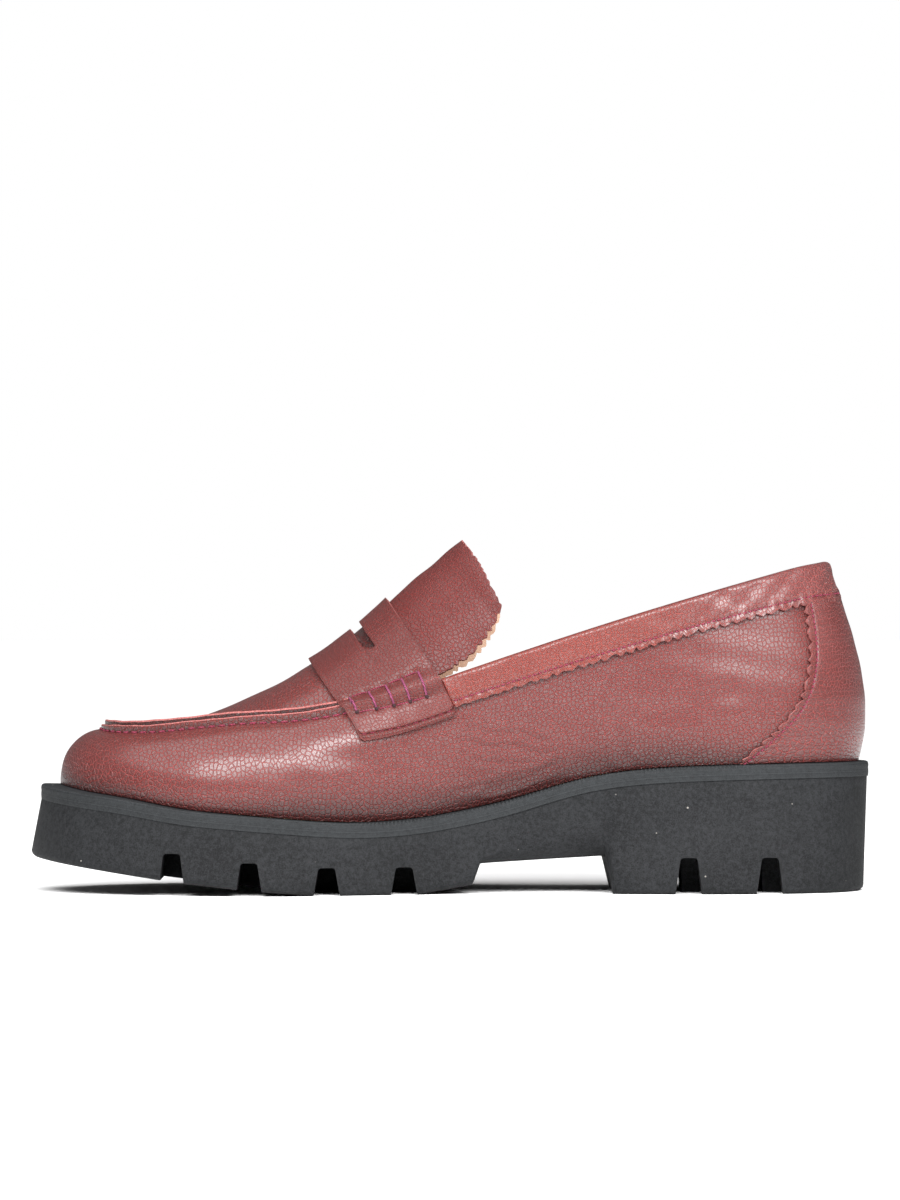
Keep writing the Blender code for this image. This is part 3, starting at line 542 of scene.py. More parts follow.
class Field:
    """A value that varies over a surface. The usual signs add Math nodes."""

    def __init__(self, tree, socket):
        self.tree = tree
        self.socket = socket

    def math(self, operation, *others):
        node = self.tree.nodes.new("ShaderNodeMath")
        node.operation = operation
        for socket, item in zip(node.inputs, (self,) + others):
            plug(self.tree, socket, item)
        return Field(self.tree, node.outputs[0])

    def __add__(self, other):
        return self.math('ADD', other)

    def __sub__(self, other):
        return self.math('SUBTRACT', other)

    def __mul__(self, other):
        return self.math('MULTIPLY', other)

    def __rsub__(self, other):
        return self * -1.0 + other

    __radd__ = __add__
    __rmul__ = __mul__


def plug(tree, socket, item):
    if isinstance(item, Field):
        tree.links.new(item.socket, socket)
    elif item is not None:
        socket.default_value = item


class Finish:
    """A material and the nodes of its look."""

    def __init__(self, name, **uniform):
        self.material = bpy.data.materials.new(name)
        self.material.use_nodes = True
        self.tree = self.material.node_tree
        self.shader = self.tree.nodes["Principled BSDF"]
        for name, value in uniform.items():
            self.shader.inputs[name.replace("_", " ")].default_value = value
        self.coords = self.node("ShaderNodeTexCoord", {}, {}, "Object")

    def node(self, kind, settings, values, out=0):
        node = self.tree.nodes.new(kind)
        for name, value in settings.items():
            setattr(node, name, value)
        for name, value in values.items():
            plug(self.tree, node.inputs[name], value)
        return Field(self.tree, node.outputs[out])

    def noise(self, scale, detail=3.0, rough=0.55, coords=None):
        return self.node("ShaderNodeTexNoise", {}, {"Vector": coords or self.coords, "Scale": scale,
                                                    "Detail": detail, "Roughness": rough}, "Fac")

    def between(self, value, low, high, start=0.0, end=1.0):
        return self.node("ShaderNodeMapRange", {"interpolation_type": 'SMOOTHSTEP'},
                         {"Value": value, "From Min": low, "From Max": high, "To Min": start, "To Max": end}, "Result")

    def mix(self, share, first, second):
        """One colour to another. The Mix node's colour sockets are its seventh and eighth."""
        return self.node("ShaderNodeMix", {"data_type": 'RGBA'}, {0: share, 6: first, 7: second}, 2)

    def mark(self, name):
        return self.node("ShaderNodeAttribute", {"attribute_name": name}, {}, "Fac")

    def set(self, **sockets):
        for name, value in sockets.items():
            plug(self.tree, self.shader.inputs[name.replace("_", " ")], value)
        return self

    def relief(self, height, depth):
        bump = self.node("ShaderNodeBump", {}, {"Height": height, "Distance": depth, "Strength": 1.0}, "Normal")
        return self.set(Normal=bump)


def rgb(red, green, blue):
    """A colour named as it shows on a screen, 0 to 255."""
    def line(value):
        value = value / 255.0
        return value / 12.92 if value <= 0.04045 else ((value + 0.055) / 1.055) ** 2.4
    return line(red), line(green), line(blue), 1.0


def pebbled_leather(name, pebble, valley, cell=0.00150, gloss=0.27, depth=0.00032, coat=0.46):
    """Full grain leather: burnished pebbles with a redder line around each."""
    look = Finish(name, IOR=1.46, Specular_IOR_Level=0.32, Coat_Roughness=0.29)
    laid = look.node("ShaderNodeCombineXYZ", {}, {"X": look.mark("around"), "Y": look.mark("up")}, 0)
    drift = look.node("ShaderNodeTexNoise", {}, {"Vector": look.coords, "Scale": 300.0, "Detail": 2.0}, "Color")
    drifted = look.node("ShaderNodeVectorMath", {"operation": 'MULTIPLY_ADD'},
                        {0: drift, 1: (0.0011, 0.0011, 0.0), 2: laid}, 0)
    edge = look.node("ShaderNodeTexVoronoi", {"feature": 'DISTANCE_TO_EDGE', "voronoi_dimensions": '2D'},
                     {"Vector": drifted, "Scale": 1.0 / cell, "Randomness": 0.9}, "Distance")
    fine = look.node("ShaderNodeTexVoronoi", {"feature": 'DISTANCE_TO_EDGE', "voronoi_dimensions": '2D'},
                     {"Vector": drifted, "Scale": 2.2 / cell, "Randomness": 1.0}, "Distance")
    top = look.between(edge, 0.02, 0.17)
    small = look.between(fine, 0.02, 0.22)
    pores = look.noise(5200.0, 2.0)
    height = top * 0.85 + small * 0.15 + pores * 0.06
    patches = look.noise(34.0, 3.0)
    cloud = look.between(look.noise(11.0, 2.0), 0.35, 0.65)
    share = look.between(top * 0.84 + small * 0.14 + (patches - 0.5) * 0.14, 0.08, 0.88)

    def grained(valley_colour, pebble_colour):
        return look.mix(share, valley_colour, pebble_colour)

    colour = look.mix(look.mark("warm") * (0.65 + cloud * 0.35), grained(valley, pebble),
                      grained(rgb(142, 62, 52), rgb(106, 46, 39)))
    # Painted sheen: a paler, greyer grain where highlights fall on the strap, the band, the counter and the tongue
    colour = look.mix(look.mark("pale") * (0.6 + patches * 0.4), colour,
                      grained(rgb(146, 82, 79), rgb(122, 78, 77)))
    # Painted shade: a darker grain mixed in where the mark is below 0, for shadow above the sole, under the lips and
    # edges, and under the strap
    dark = grained(tuple(0.42 * c for c in valley[:3]) + (1.0,), tuple(0.30 * c for c in pebble[:3]) + (1.0,))
    colour = look.mix(look.between(look.mark("tone") * -1.0 + (patches - 0.5) * 0.10, 0.0, 1.0), colour, dark)
    look.set(Base_Color=colour, Roughness=gloss + 0.10 - top * 0.12 + (patches - 0.5) * 0.16,
             Coat_Weight=(top * 1.25 + 0.15) * coat)
    return look.relief(height, depth).material


def raw_edge_finish():
    look = Finish("raw_leather_edge", IOR=1.40)
    fibre = look.noise(2600.0, 4.0, 0.7)
    share = look.between(fibre, 0.35, 0.68)
    look.set(Base_Color=look.mix(share, rgb(122, 66, 64), rgb(172, 106, 102)), Roughness=0.88 - share * 0.08)
    return look.relief(fibre, 0.00022).material


def lining_finish(name, light, dark):
    look = Finish(name, IOR=1.42)
    cells = look.node("ShaderNodeTexVoronoi", {"feature": 'F1'}, {"Vector": look.coords, "Scale": 1700.0}, "Distance")
    cloud = look.noise(60.0, 4.0)
    grain = look.noise(2100.0, 3.0)
    share = look.between(cloud * 0.7 + grain * 0.4, 0.38, 0.72)
    look.set(Base_Color=look.mix(share, dark, light), Roughness=0.62 + grain * 0.16)
    return look.relief(cells * 0.5 + grain * 0.5, 0.00010).material


def thread_finish(name, light, dark):
    look = Finish(name, IOR=1.45, Specular_IOR_Level=0.2)
    twist = look.node("ShaderNodeTexWave", {"wave_type": 'BANDS', "bands_direction": 'DIAGONAL'},
                      {"Vector": look.coords, "Scale": 620.0, "Distortion": 2.0}, "Fac")
    look.set(Base_Color=look.mix(twist, dark, light), Roughness=0.80 - twist * 0.10)
    return look.relief(twist, 0.00012).material


def rubber_finish(name, face, worn, lines):
    """Matte moulded rubber with pale specks, and the drawn lines of a strip where lines is more than 0."""
    look = Finish(name, IOR=1.50, Specular_IOR_Level=0.16)
    grain = look.noise(3000.0, 3.0)
    cloud = look.noise(38.0, 3.0)
    specks = look.node("ShaderNodeTexVoronoi", {"feature": 'F1'}, {"Vector": look.coords, "Scale": 120.0}, "Distance")
    speck = look.between(specks, 0.028, 0.048, 1.0, 0.0)
    mottle = look.noise(760.0, 4.0, 0.7)
    colour = look.mix(look.between(cloud * 0.15 + mottle * 0.45 + grain * 0.45, 0.40, 0.66), face, worn)
    colour = look.mix(speck * 0.6, colour, rgb(160, 156, 150))
    height = grain * 0.5 + mottle * 0.9 + cloud * 0.2
    if lines:
        level = look.mark("level")
        drawn = look.noise(26.0, 5.0, 0.7, look.node("ShaderNodeCombineXYZ", {}, {"X": level * 1.3, "Y": 0.0}, 0))
        height = height + drawn * lines
        colour = look.mix(look.between(drawn, 0.46, 0.66) * 0.45, colour, rgb(92, 95, 96))
    look.set(Base_Color=colour, Roughness=0.70 + grain * 0.12 - cloud * 0.10)
    return look.relief(height, 0.00012).material


LEATHER = pebbled_leather("burgundy_leather", rgb(81, 37, 35), rgb(118, 49, 46))
STRAP_LEATHER = pebbled_leather("strap_leather", rgb(78, 36, 34), rgb(112, 46, 43), cell=0.00130, gloss=0.38, coat=0.14)
TONGUE_LEATHER = pebbled_leather("tongue_leather", rgb(80, 34, 32), rgb(114, 45, 42), cell=0.00145, gloss=0.46,
                                 depth=0.00036, coat=0.08)
RAW_EDGE = raw_edge_finish()
LINING = lining_finish("natural_lining", rgb(214, 182, 160), rgb(192, 156, 132))
FOOTBED = lining_finish("footbed_leather", rgb(220, 192, 150), rgb(192, 158, 116))
THREAD_FINE = thread_finish("plum_thread", rgb(136, 56, 74), rgb(90, 34, 48))
THREAD_HAND = thread_finish("plum_hand_thread", rgb(140, 72, 100), rgb(96, 44, 68))
RUBBER = rubber_finish("black_rubber", rgb(14, 15, 16), rgb(37, 38, 40), 0.0)
WELT_RUBBER = rubber_finish("welt_rubber", rgb(18, 19, 21), rgb(34, 36, 38), 0.9)
# Painted shade: the dark colour of the balls that stand for the stitch holes
HOLE_SHADE = Finish("painted_hole_shade", Roughness=0.9)
HOLE_SHADE.set(Base_Color=HOLE_SHADE.mix(HOLE_SHADE.noise(900.0), rgb(30, 14, 16), rgb(52, 24, 28)))


def build_upper():
    """The quarters, vamp and apron as one wall, leather outside and lining inside."""
    step, levels, crown_steps = 16, 56, 32
    count = AROUND * step
    throat = STRAP_BACK * step + step * 2 // 3
    place = (np.arange(count) / step)[:, None]
    lowered = below_top(place, FOLD_ROOM * (half_place(place) < STRAP_BACK - 0.2))
    columns = np.arange(throat, TOE * step + 1)
    rise = 1.0 + np.arange(1, crown_steps) / crown_steps
    parts = [np.broadcast_arrays(place, np.linspace(0.0, 1.0, levels + 1)[None, :] * lowered)]
    parts += [np.broadcast_arrays((side / step)[:, None], rise) for side in (columns, count - columns[:-1])]
    parts.append((columns / step, np.full(len(columns), 2.0)))
    places, vs = (np.concatenate([part[i].ravel() for part in parts]) for i in (0, 1))
    wall, near, far = (numbered(part[0]) for part in parts[:3])
    near, far = near + wall.size, far + wall.size + near.size
    far = np.vstack([far, near[-1:]])
    ridge = (len(places) - len(columns) + np.arange(len(columns)))[:, None]
    near = np.hstack([wall[columns][:, -1:], near, ridge])
    far = np.hstack([wall[(count - columns) % count][:, -1:], far, ridge])
    faces = np.concatenate([quads(wall, wrap=True), quads(near), quads(far)[:, ::-1]])
    outer = skin(places, vs)
    half = half_place(places)

    # Painted shade: darker above the sole where the wall turns down, under the lip, inside the apron under the strap,
    # beside the band and the counter, and low towards the toe
    above = (outer[:, 2] - feather(places)[:, 2]) * MM
    waist = blend_in(half, 2.5, 5.0) * (1.0 - blend_in(half, 10.5, 12.5))
    tone = np.where(vs < 1.0, -(0.80 + 0.20 * waist) * np.exp(-(above / (4.5 + 5.0 * waist)) ** 1.5), 0.0)
    tone -= 0.30 * np.exp(-np.abs(vs - 0.985) / 0.035) * (half > STRAP_FRONT) * (vs <= 1.0)
    tone -= 0.75 * (vs > 1.0) * (half < STRAP_FRONT)
    tone -= 0.50 * hill(rib_top(places)[:, 2] - outer[:, 2] - band_depth(places), 0.0, 0.0013) * (half < STRAP_BACK)
    ribs = np.arange(STRAP_BACK + 1.0)
    tops = np.interp(half, ribs, below_top(ribs, band_depth(ribs)))
    beside = (half - counter_edge(np.clip(vs / tops, 0.0, 1.0))) * PER_RIB
    tone -= 0.45 * hill(beside, 0.0, 0.0013) * (vs < tops)
    tone -= 0.16 * blend_in(-outer[:, 0], 0.215, 0.262) * (vs < 0.9)

    fine = np.linspace(0.0, AROUND, 1441)
    height = np.linalg.norm(rib_top(places) - feather(places), axis=1)
    around = np.where(vs > 1.0, outer[:, 0], np.interp(places, fine, walked(wall_point(fine, 0.5))))
    up = np.where(vs > 1.0, outer[:, 1], vs * height)
    return thick_piece("upper_leather", outer, skin(places, vs, -WALL), faces, LEATHER,
                       around=around, up=up, tone=np.clip(tone, -1.0, 0.0))


def build_lip():
    """Two thin raw edges standing up along the seam around the toe, the inner one a little higher."""
    start = STRAP_FRONT - 0.1
    places, lengths = even_places(lambda p: upper_point(p, 1.0), start, AROUND - start, 620)
    base = upper_point(places, 1.0)
    away = outward(places)
    low = skin(places, np.full(len(places), 1.0 - SLOPE))[:, 2]
    wave = 0.00007 * np.sin(lengths * 260.0) + 0.00005 * np.sin(lengths * 710.0 + 0.8)
    at_toe = hill(places, TOE, 1.3)
    lean = 0.0003 + 0.0001 * np.sin(lengths * 95.0) - 0.0003 * at_toe
    pieces = []
    # name, inner and outer side, added height, shift of the waves, foot, painted shade around the section, darker on
    # the faces turned from the light
    for name, inside, outside, extra, shift, foot, tones in (
            ("vamp_lip", 0.00010, 0.00110, -0.0014, 0, low - 0.0002, (-0.70, -0.45, -0.10, 0.0, 0.0, -0.2, -0.4, -0.5)),
            ("apron_lip", -0.00100, -0.00010, 0.00015, 34, base[:, 2] - 0.0004, (-0.9,) * 8)):
        top = base[:, 2] + LIP_HEIGHT - 0.0011 * at_toe + extra + np.roll(wave, shift)
        profile = []
        for share, offset in ((0.0, outside), (0.5, outside), (0.88, outside), (1.0, outside - 0.0002),
                              (1.0, inside + 0.0002), (0.88, inside), (0.5, inside), (0.0, inside)):
            row = base + away * (offset + lean * share ** 2)[:, None]
            row[:, 2] = foot + (top - foot) * share
            profile.append(row)
        net = np.stack(profile, axis=1)
        raw = np.concatenate([np.tile((0, 0, 1, 1, 1, 0, 0, 0), len(net) - 1), (1, 1)])
        pieces.append(add_piece(name, *capped(net), [LEATHER, RAW_EDGE], raw, 60.0,
                                tone=np.tile(tones, len(net)), **laid_out(net)))
    return pieces


def strap_foot(share):
    """Share of the wall's height at which the strap ends."""
    return STRAP_FOOT_FRONT + (STRAP_FOOT_BACK - STRAP_FOOT_FRONT) * share


def strap_place(share, v):
    """Rib place at a share of the strap's width, from its front edge."""
    below = np.maximum(1.0 - v, 0.0) / (1.0 - strap_foot(share))
    front = STRAP_FRONT - STRAP_LEAN_FRONT * below
    back = STRAP_BACK - STRAP_LEAN_BACK * below
    return front + share * (back - front)


def roll(v):
    """Lift of the strap over the seam."""
    share = (v - 1.0) / ROLL_HALF
    return np.where(np.abs(share) < 1.0, STRAP_ROLL * np.cos(share * math.pi / 2) ** 2, 0.0)


def strap_point(share, v, far, height):
    place = strap_place(share, v)
    return skin(np.where(far, AROUND - place, place), v, height + GAP + roll(v))


def strap_puckers(share, v):
    """Small pulls of the leather beside each hand stitch."""
    return -0.00055 * sum(hill(share, place, 0.055) * hill(v, level, 0.030)
                          for place in HAND_SHARES for level in (HAND_TOP, HAND_BOTTOM))


def build_strap():
    """The saddle strap: rolled over the seam, slotted in the middle and hemmed at its ends."""
    across = graded(0.0, (0.05, 6), (SLOT_SHARES[0], 21), (SLOT_SHARES[1], 8), (0.95, 15), (1.0, 6))
    fall = graded(1.0, (0.70, 24), (0.0, 22))[:-1]
    levels = np.concatenate([fall - 2.0, graded(1.0, (1.16, 14), (SLOT_END, 19), (2.0, 19))])
    full = np.concatenate([levels, levels[-2::-1]])
    share, level = np.meshgrid(across, full, indexing="ij")
    far = np.broadcast_to(np.arange(len(full)) >= len(levels), share.shape)
    hem = np.where(level < 0.0, level + 2.0, 0.0)
    corner = np.clip((np.abs(2.0 * share - 1.0) - 0.90) / 0.10, 0.0, 1.0)
    rounded = 1.0 - 0.14 * (1.0 - np.sqrt(1.0 - 0.98 * corner ** 2))
    v = np.where(level < 0.0, 1.0 - hem * (1.0 - strap_foot(share)) * rounded, level)
    middle, half = 0.5 * sum(SLOT_SHARES), 0.5 * (SLOT_SHARES[1] - SLOT_SHARES[0])
    slotward = (share - middle) / half
    slant = 0.035 * np.clip(slotward + 1.0, 0.0, 3.0) + 0.035 * np.clip(1.0 - slotward ** 2, 0.0, 1.0)
    v = v - slant * hill(v, SLOT_END, 0.16) * (level > 1.0)
    height = (strap_puckers(share, v) - 0.00045 * hill(hem, HEM, 0.016) + 0.00035 * hill(hem, 0.94, 0.035)
              + 0.00012 * np.sin(share * 22.0 + hem * 3.0) * blend_in(hem, 0.2, 0.6))
    outer = strap_point(share, v, far, height + STRAP_THICKNESS)
    inner = strap_point(share, v, far, 0.0 * height)
    cells = quads(numbered(share)).reshape(share.shape[0] - 1, share.shape[1] - 1, 4)
    mid = 0.5 * (across[:-1] + across[1:])
    open_across = (mid > SLOT_SHARES[0]) & (mid < SLOT_SHARES[1])
    high = np.minimum(full[:-1], full[1:]) >= SLOT_END - 1e-9
    keep = ~(open_across[:, None] & high[None, :])
    # Painted shade along the hem's fold and just under the roll; painted sheen on the lower part and along the roll's
    # crest
    tone = -0.45 * hill(hem, HEM, 0.020) - 0.22 * hill(v, 0.90, 0.02)
    pale = 0.30 * blend_in(hem, 0.15, 0.55) * (1.0 - blend_in(hem, 0.75, 0.85)) + 0.20 * hill(v, 1.0, 0.05)
    piece = thick_piece("saddle_strap_leather", outer, inner, cells[keep][:, ::-1], STRAP_LEATHER,
                        tone=tone, pale=pale, **laid_out(outer))
    return soften(piece, 0.00035, 2, 55.0)


def ball(centre):
    """A small dark ball of painted shade that shows as a hole."""
    up = np.radians((-60.0, -20.0, 20.0, 60.0))[:, None]
    turn = np.radians(np.arange(10) * 36.0)[None, :]
    return capped(centre + HOLE_SIZE * stack(np.cos(turn) * np.cos(up), 0.9 * np.sin(turn) * np.cos(up), np.sin(up)))


def build_hand_stitches():
    """Hand stitches over the roll, with a thread row above and below and a dark ball of painted shade for the hole at
    each lower end.
    """
    threads, rows, holes = [], [], []
    for far in (False, True):
        for k, share in enumerate(HAND_SHARES):
            v = np.linspace(HAND_TOP, HAND_BOTTOM, 15)
            lift = STRAP_THICKNESS + HAND_THREAD * 0.6 - 0.0009 * np.abs(np.linspace(-1, 1, 15)) ** 6
            lean = share + np.linspace(0.02, -0.02, 15) + 0.006 * math.sin(k * 2.1)
            threads.append(strap_point(lean, v, far, lift))
            holes.append(ball(strap_point(lean[-1:], v[-1:], far, STRAP_THICKNESS)[0]))
        for level, shift in ((HAND_TOP, 0.02), (HAND_BOTTOM, -0.02)):
            ends = [share + shift for share in HAND_SHARES]
            for first, last in zip(ends, ends[1:]):
                sag = STRAP_THICKNESS - HAND_THREAD * 0.10 - 0.0006 * np.abs(np.linspace(-1, 1, 9)) ** 4
                rows.append(strap_point(np.linspace(first + 0.02, last - 0.015, 9), np.full(9, level), far, sag))
    return [join_tubes("hand_stitches", threads, HAND_THREAD, THREAD_HAND, 10),
            join_tubes("hand_stitch_rows", rows, HAND_THREAD * 0.60, THREAD_FINE),
            add_piece("stitch_hole_shades", *joined(holes), [HOLE_SHADE.material])]


def tongue_form():
    corner = rib_top(float(STRAP_BACK))[2]
    ridge, crown, edge, side, outer_side, inner, outer = np.array(TONGUE).T
    rows = np.stack((-ridge * UPPER_LENGTH, corner + crown * TONGUE_RISE - TONGUE_TUCK, -edge * UPPER_LENGTH,
                     corner + side * TONGUE_RISE, corner + outer_side * TONGUE_RISE,
                     inner * BALL_WIDTH, outer * BALL_WIDTH), axis=-1)
    return spline(rows, closed=False)


def build_tongue():
    """The arched tongue with its pinked edges, a little wavy towards its free end."""
    form = tongue_form()
    last = float(len(TONGUE) - 1)

    def surface(place, t):
        place, t = np.broadcast_arrays(place, t)
        row = form(place)
        ridge = stack(row[..., 0], 0.0, row[..., 1])
        near = arch(stack(row[..., 2], -row[..., 5], row[..., 3]), ridge, np.minimum(t, 1.0))
        far = arch(stack(row[..., 2], row[..., 6], row[..., 4]), ridge, 2.0 - np.maximum(t, 1.0))
        return np.where((t <= 1.0)[..., None], near, far)

    def normal(place, t):
        climb = surface(place, np.minimum(t + SLOPE, 2.0)) - surface(place, np.maximum(t - SLOPE, 0.0))
        return unit(np.cross(climb, surface(place - SLOPE, t) - surface(place + SLOPE, t)))

    rows, columns = np.linspace(0.0, 1.0, 97), np.linspace(0.0, 2.0, 261)
    i, j = np.meshgrid(rows, columns / 2.0, indexing="ij")
    bulge = 0.0011 * hill(columns, 0.42, 0.30) + 0.0006 * hill(columns, 1.58, 0.30)
    cut = (teeth(walked(surface(last, columns)), 0.0, TONGUE_PITCH, TONGUE_PINK) - bulge) / TONGUE_ROW
    notch = teeth(walked(surface(rows * last, 0.0)), 0.0, TONGUE_SIDE_PITCH, TONGUE_PINK) / TONGUE_HALF
    place = (last - cut[None, :]) * i
    begin = (notch * blend_in(rows, 0.25, 0.4))[:, None]
    t = begin + (2.0 - 2.0 * begin) * j
    facing = normal(place, t)
    ripple = (0.00016 * np.sin(place * 5.0 + t * 3.0) * blend_in(place, 1.2, 3.0)
              + 0.00012 * np.sin(t * 9.0) * blend_in(place, 2.2, 4.0))
    outer = surface(place, t) + facing * ripple[..., None]
    inner = outer - facing * (TONGUE_THICKNESS - 0.0006)
    edge = blend_in(place, 3.72, 3.95)
    # Painted shade at its root, where it goes under the strap; towards its free end it is painted a little darker and
    # paler
    tone = -0.15 * edge - 0.25 * (1.0 - blend_in(place, 0.9, 1.5))
    return thick_piece("tongue_leather_piece", outer, inner, quads(numbered(i))[:, ::-1], TONGUE_LEATHER,
                       tone=tone, pale=0.12 * edge, **laid_out(outer))


def band_depth(place):
    return BAND_BACK + (BAND_FRONT - BAND_BACK) * half_place(place) / STRAP_BACK


def band_end():
    """Rib place where the band's lower edge meets the strap."""
    return float(strap_place(1.0, below_top(float(STRAP_BACK), BAND_FRONT))) - 0.02


def build_band():
    """Collar band, pinked below, sewn down and folded over the topline."""
    end = band_end()
    places, lengths = even_places(lambda p: wall_point(p, below_top(p, band_depth(p))), -end, end, 900)
    faded = 1.0 - 0.65 * blend_in(np.abs(places), 5.6, 7.6)
    depth = band_depth(places) + (PINK_DEPTH * 0.5 - teeth(lengths)) * faded
    levels = np.linspace(0.0, 1.0, 15)
    foot = below_top(places, depth)
    folded = below_top(places, np.full(len(places), FOLD_ROOM))
    v = foot[:, None] + (folded - foot)[:, None] * levels[None, :]
    reached = (strap_place(1.0, v) + 0.10) / end - 1.0
    place = places[:, None] * (1.0 + reached * (np.abs(places) / end)[:, None] ** 14)
    clear = blend_in(strap_place(1.0, v) - np.abs(place), -0.03, 0.03)
    down = FOLD_ROOM + (1.0 - levels)[None, :] * (depth - FOLD_ROOM)[:, None]
    seam = band_depth(places)[:, None] - STITCH_INSET
    dent = -DENT * hill(down, seam, DENT_HALF)
    pucker = 0.00014 * np.sin(lengths * 2 * math.pi / 0.0036)[:, None] * hill(down, seam, 0.0016)
    fold = 0.00025 * np.sin(lengths * 520.0)[:, None] * np.sin(down * 700.0) * blend_in(-np.abs(place), -5.2, -3.0)
    outer = skin(place, v, GAP * 0.5 + (GAP * 0.5 + OVERLAY + dent + pucker + fold) * clear)
    inner = skin(place, v, GAP * clear)

    # Over the topline, and down inside
    edge_places = place[:, -1]
    top = wall_point(edge_places, folded)
    climb = unit(top - wall_point(edge_places, folded - 0.04))[:, None]
    facing = upper_normal(edge_places, folded)[:, None]
    turn = np.radians(np.linspace(0.0, 180.0, 11))[1:][None, :, None]
    inward = np.linspace(0.0, FOLD_INSIDE, 5)[1:][None, :, None]

    def over(flat, reach, rise):
        bent = top[:, None] - facing * (WALL / 2) + facing * (reach * np.cos(turn)) + climb * (rise * np.sin(turn))
        return np.concatenate([flat, bent, bent[:, -1:] - climb * inward], axis=1)

    net = over(outer, WALL / 2 + GAP + OVERLAY, FOLD_RISE)
    under = over(inner, WALL / 2 + GAP, FOLD_UNDER)
    half = half_place(places)[:, None] + np.zeros(net.shape[:2])
    tone = np.zeros(net.shape[:2])
    # Painted shade in the stitch row's dent; painted sheen towards the band's back
    tone[:, :15] = -0.32 * hill(down, seam, 0.0006)
    return thick_piece("collar_band_leather", net, under, quads(numbered(net)), LEATHER, tone=tone,
                       warm=blend_in(half, 3.0, 6.5) * 0.95, pale=(1.0 - blend_in(half, 2.5, 5.0)) * 0.38,
                       **laid_out(net))


def counter_edge(v_share):
    """Rib place of the counter's front edge at a share of its height."""
    return spline([(value,) for value in COUNTER_EDGE], closed=False)(v_share * (len(COUNTER_EDGE) - 1))[..., 0]


def build_counter():
    """Heel patch with pinked front edges, laid over the quarters."""
    share = np.linspace(0.0, 1.0, 150)
    edge_place = counter_edge(share)
    line_v = below_top(edge_place, band_depth(edge_place) - PINK_DEPTH) * share
    lengths = walked(wall_point(edge_place, line_v))
    per_place = stride(edge_place, line_v)
    cut = edge_place + (PINK_DEPTH * 0.6 - teeth(lengths, 0.3, depth=PINK_DEPTH * 1.25)) / per_place
    place = cut[None, :] * np.linspace(-1.0, 1.0, 181)[:, None]
    v = below_top(place, band_depth(place) - PINK_DEPTH) * share[None, :]
    in_from_edge = (edge_place[None, :] - np.abs(place)) * per_place[None, :]
    dent = -DENT * hill(in_from_edge, STITCH_INSET, DENT_HALF)
    lift = 0.00022 * np.exp(-np.abs(in_from_edge) / 0.0009)
    outer = skin(place, v, GAP + OVERLAY + dent + lift)
    above = (outer[..., 2] - feather(place)[..., 2]) * MM
    # Painted shade in the stitch row's dent and just above the sole; painted sheen on its upper part
    tone = -0.32 * hill(in_from_edge, STITCH_INSET, 0.0006) - 0.60 * np.exp(-(above / 3.6) ** 1.4)
    pale = 0.35 * blend_in(above, 25.0, 45.0) * blend_in(np.abs(place), 0.9, 2.0)
    return thick_piece("heel_counter_leather", outer, skin(place, v, GAP + lift * 0.5), quads(numbered(place)), LEATHER,
                       tone=np.clip(tone, -1, 0), pale=pale, **laid_out(outer))


def stitch_tree():
    """Stitches laid end to end along a line."""
    tree = bpy.data.node_groups.new("stitch_run", 'GeometryNodeTree')
    for name, direction, kind in (("Line", 'INPUT', "Geometry"), ("Pitch", 'INPUT', "Float"),
                                  ("Length", 'INPUT', "Float"), ("Radius", 'INPUT', "Float"),
                                  ("Thread", 'INPUT', "Material"), ("Stitches", 'OUTPUT', "Geometry")):
        tree.interface.new_socket(name, in_out=direction, socket_type="NodeSocket" + kind)
    enter, leave, curve, spaced, ball, stretch, place, size, half, tangent, turn, whole, coat = map(tree.nodes.new, (
        "NodeGroupInput", "NodeGroupOutput", "GeometryNodeMeshToCurve", "GeometryNodeResampleCurve",
        "GeometryNodeMeshUVSphere", "GeometryNodeTransform", "GeometryNodeInstanceOnPoints", "ShaderNodeCombineXYZ",
        "ShaderNodeMath", "GeometryNodeInputTangent", "FunctionNodeAlignRotationToVector",
        "GeometryNodeRealizeInstances", "GeometryNodeSetMaterial"))
    spaced.mode = 'LENGTH'
    half.operation = 'MULTIPLY'
    turn.axis = 'X'
    for socket, value in ((ball.inputs["Segments"], 8), (ball.inputs["Rings"], 5), (ball.inputs["Radius"], 1.0),
                          (half.inputs[1], 0.5)):
        socket.default_value = value
    for source, out, target, into in (
            (enter, "Line", curve, 0), (curve, 0, spaced, "Curve"), (enter, "Pitch", spaced, "Length"),
            (enter, "Length", half, 0), (half, 0, size, "X"), (enter, "Radius", size, "Y"),
            (enter, "Radius", size, "Z"), (ball, "Mesh", stretch, "Geometry"), (size, 0, stretch, "Scale"),
            (tangent, 0, turn, "Vector"), (spaced, "Curve", place, "Points"), (stretch, 0, place, "Instance"),
            (turn, 0, place, "Rotation"), (place, 0, whole, 0), (whole, 0, coat, "Geometry"),
            (enter, "Thread", coat, "Material"), (coat, 0, leave, 0)):
        tree.links.new(source.outputs[out], target.inputs[into])
    return tree


STITCHES = stitch_tree()


def sew(name, lines, pitch, length, radius):
    """Machine stitches along one or more lines of points."""
    mesh = bpy.data.meshes.new(name)
    starts = np.cumsum([0] + [len(line) for line in lines[:-1]])
    edges = [(start + i, start + i + 1) for start, line in zip(starts, lines) for i in range(len(line) - 1)]
    mesh.from_pydata((np.concatenate(lines) + CENTRE).tolist(), edges, [])
    piece = shown(name, mesh)
    run = piece.modifiers.new("stitches", 'NODES')
    run.node_group = STITCHES
    sockets = {item.name: item.identifier for item in STITCHES.interface.items_tree if item.in_out == 'INPUT'}
    for socket, value in (("Pitch", pitch), ("Length", length), ("Radius", radius), ("Thread", THREAD_FINE)):
        run[sockets[socket]] = value
    return settle(piece, 60.0)


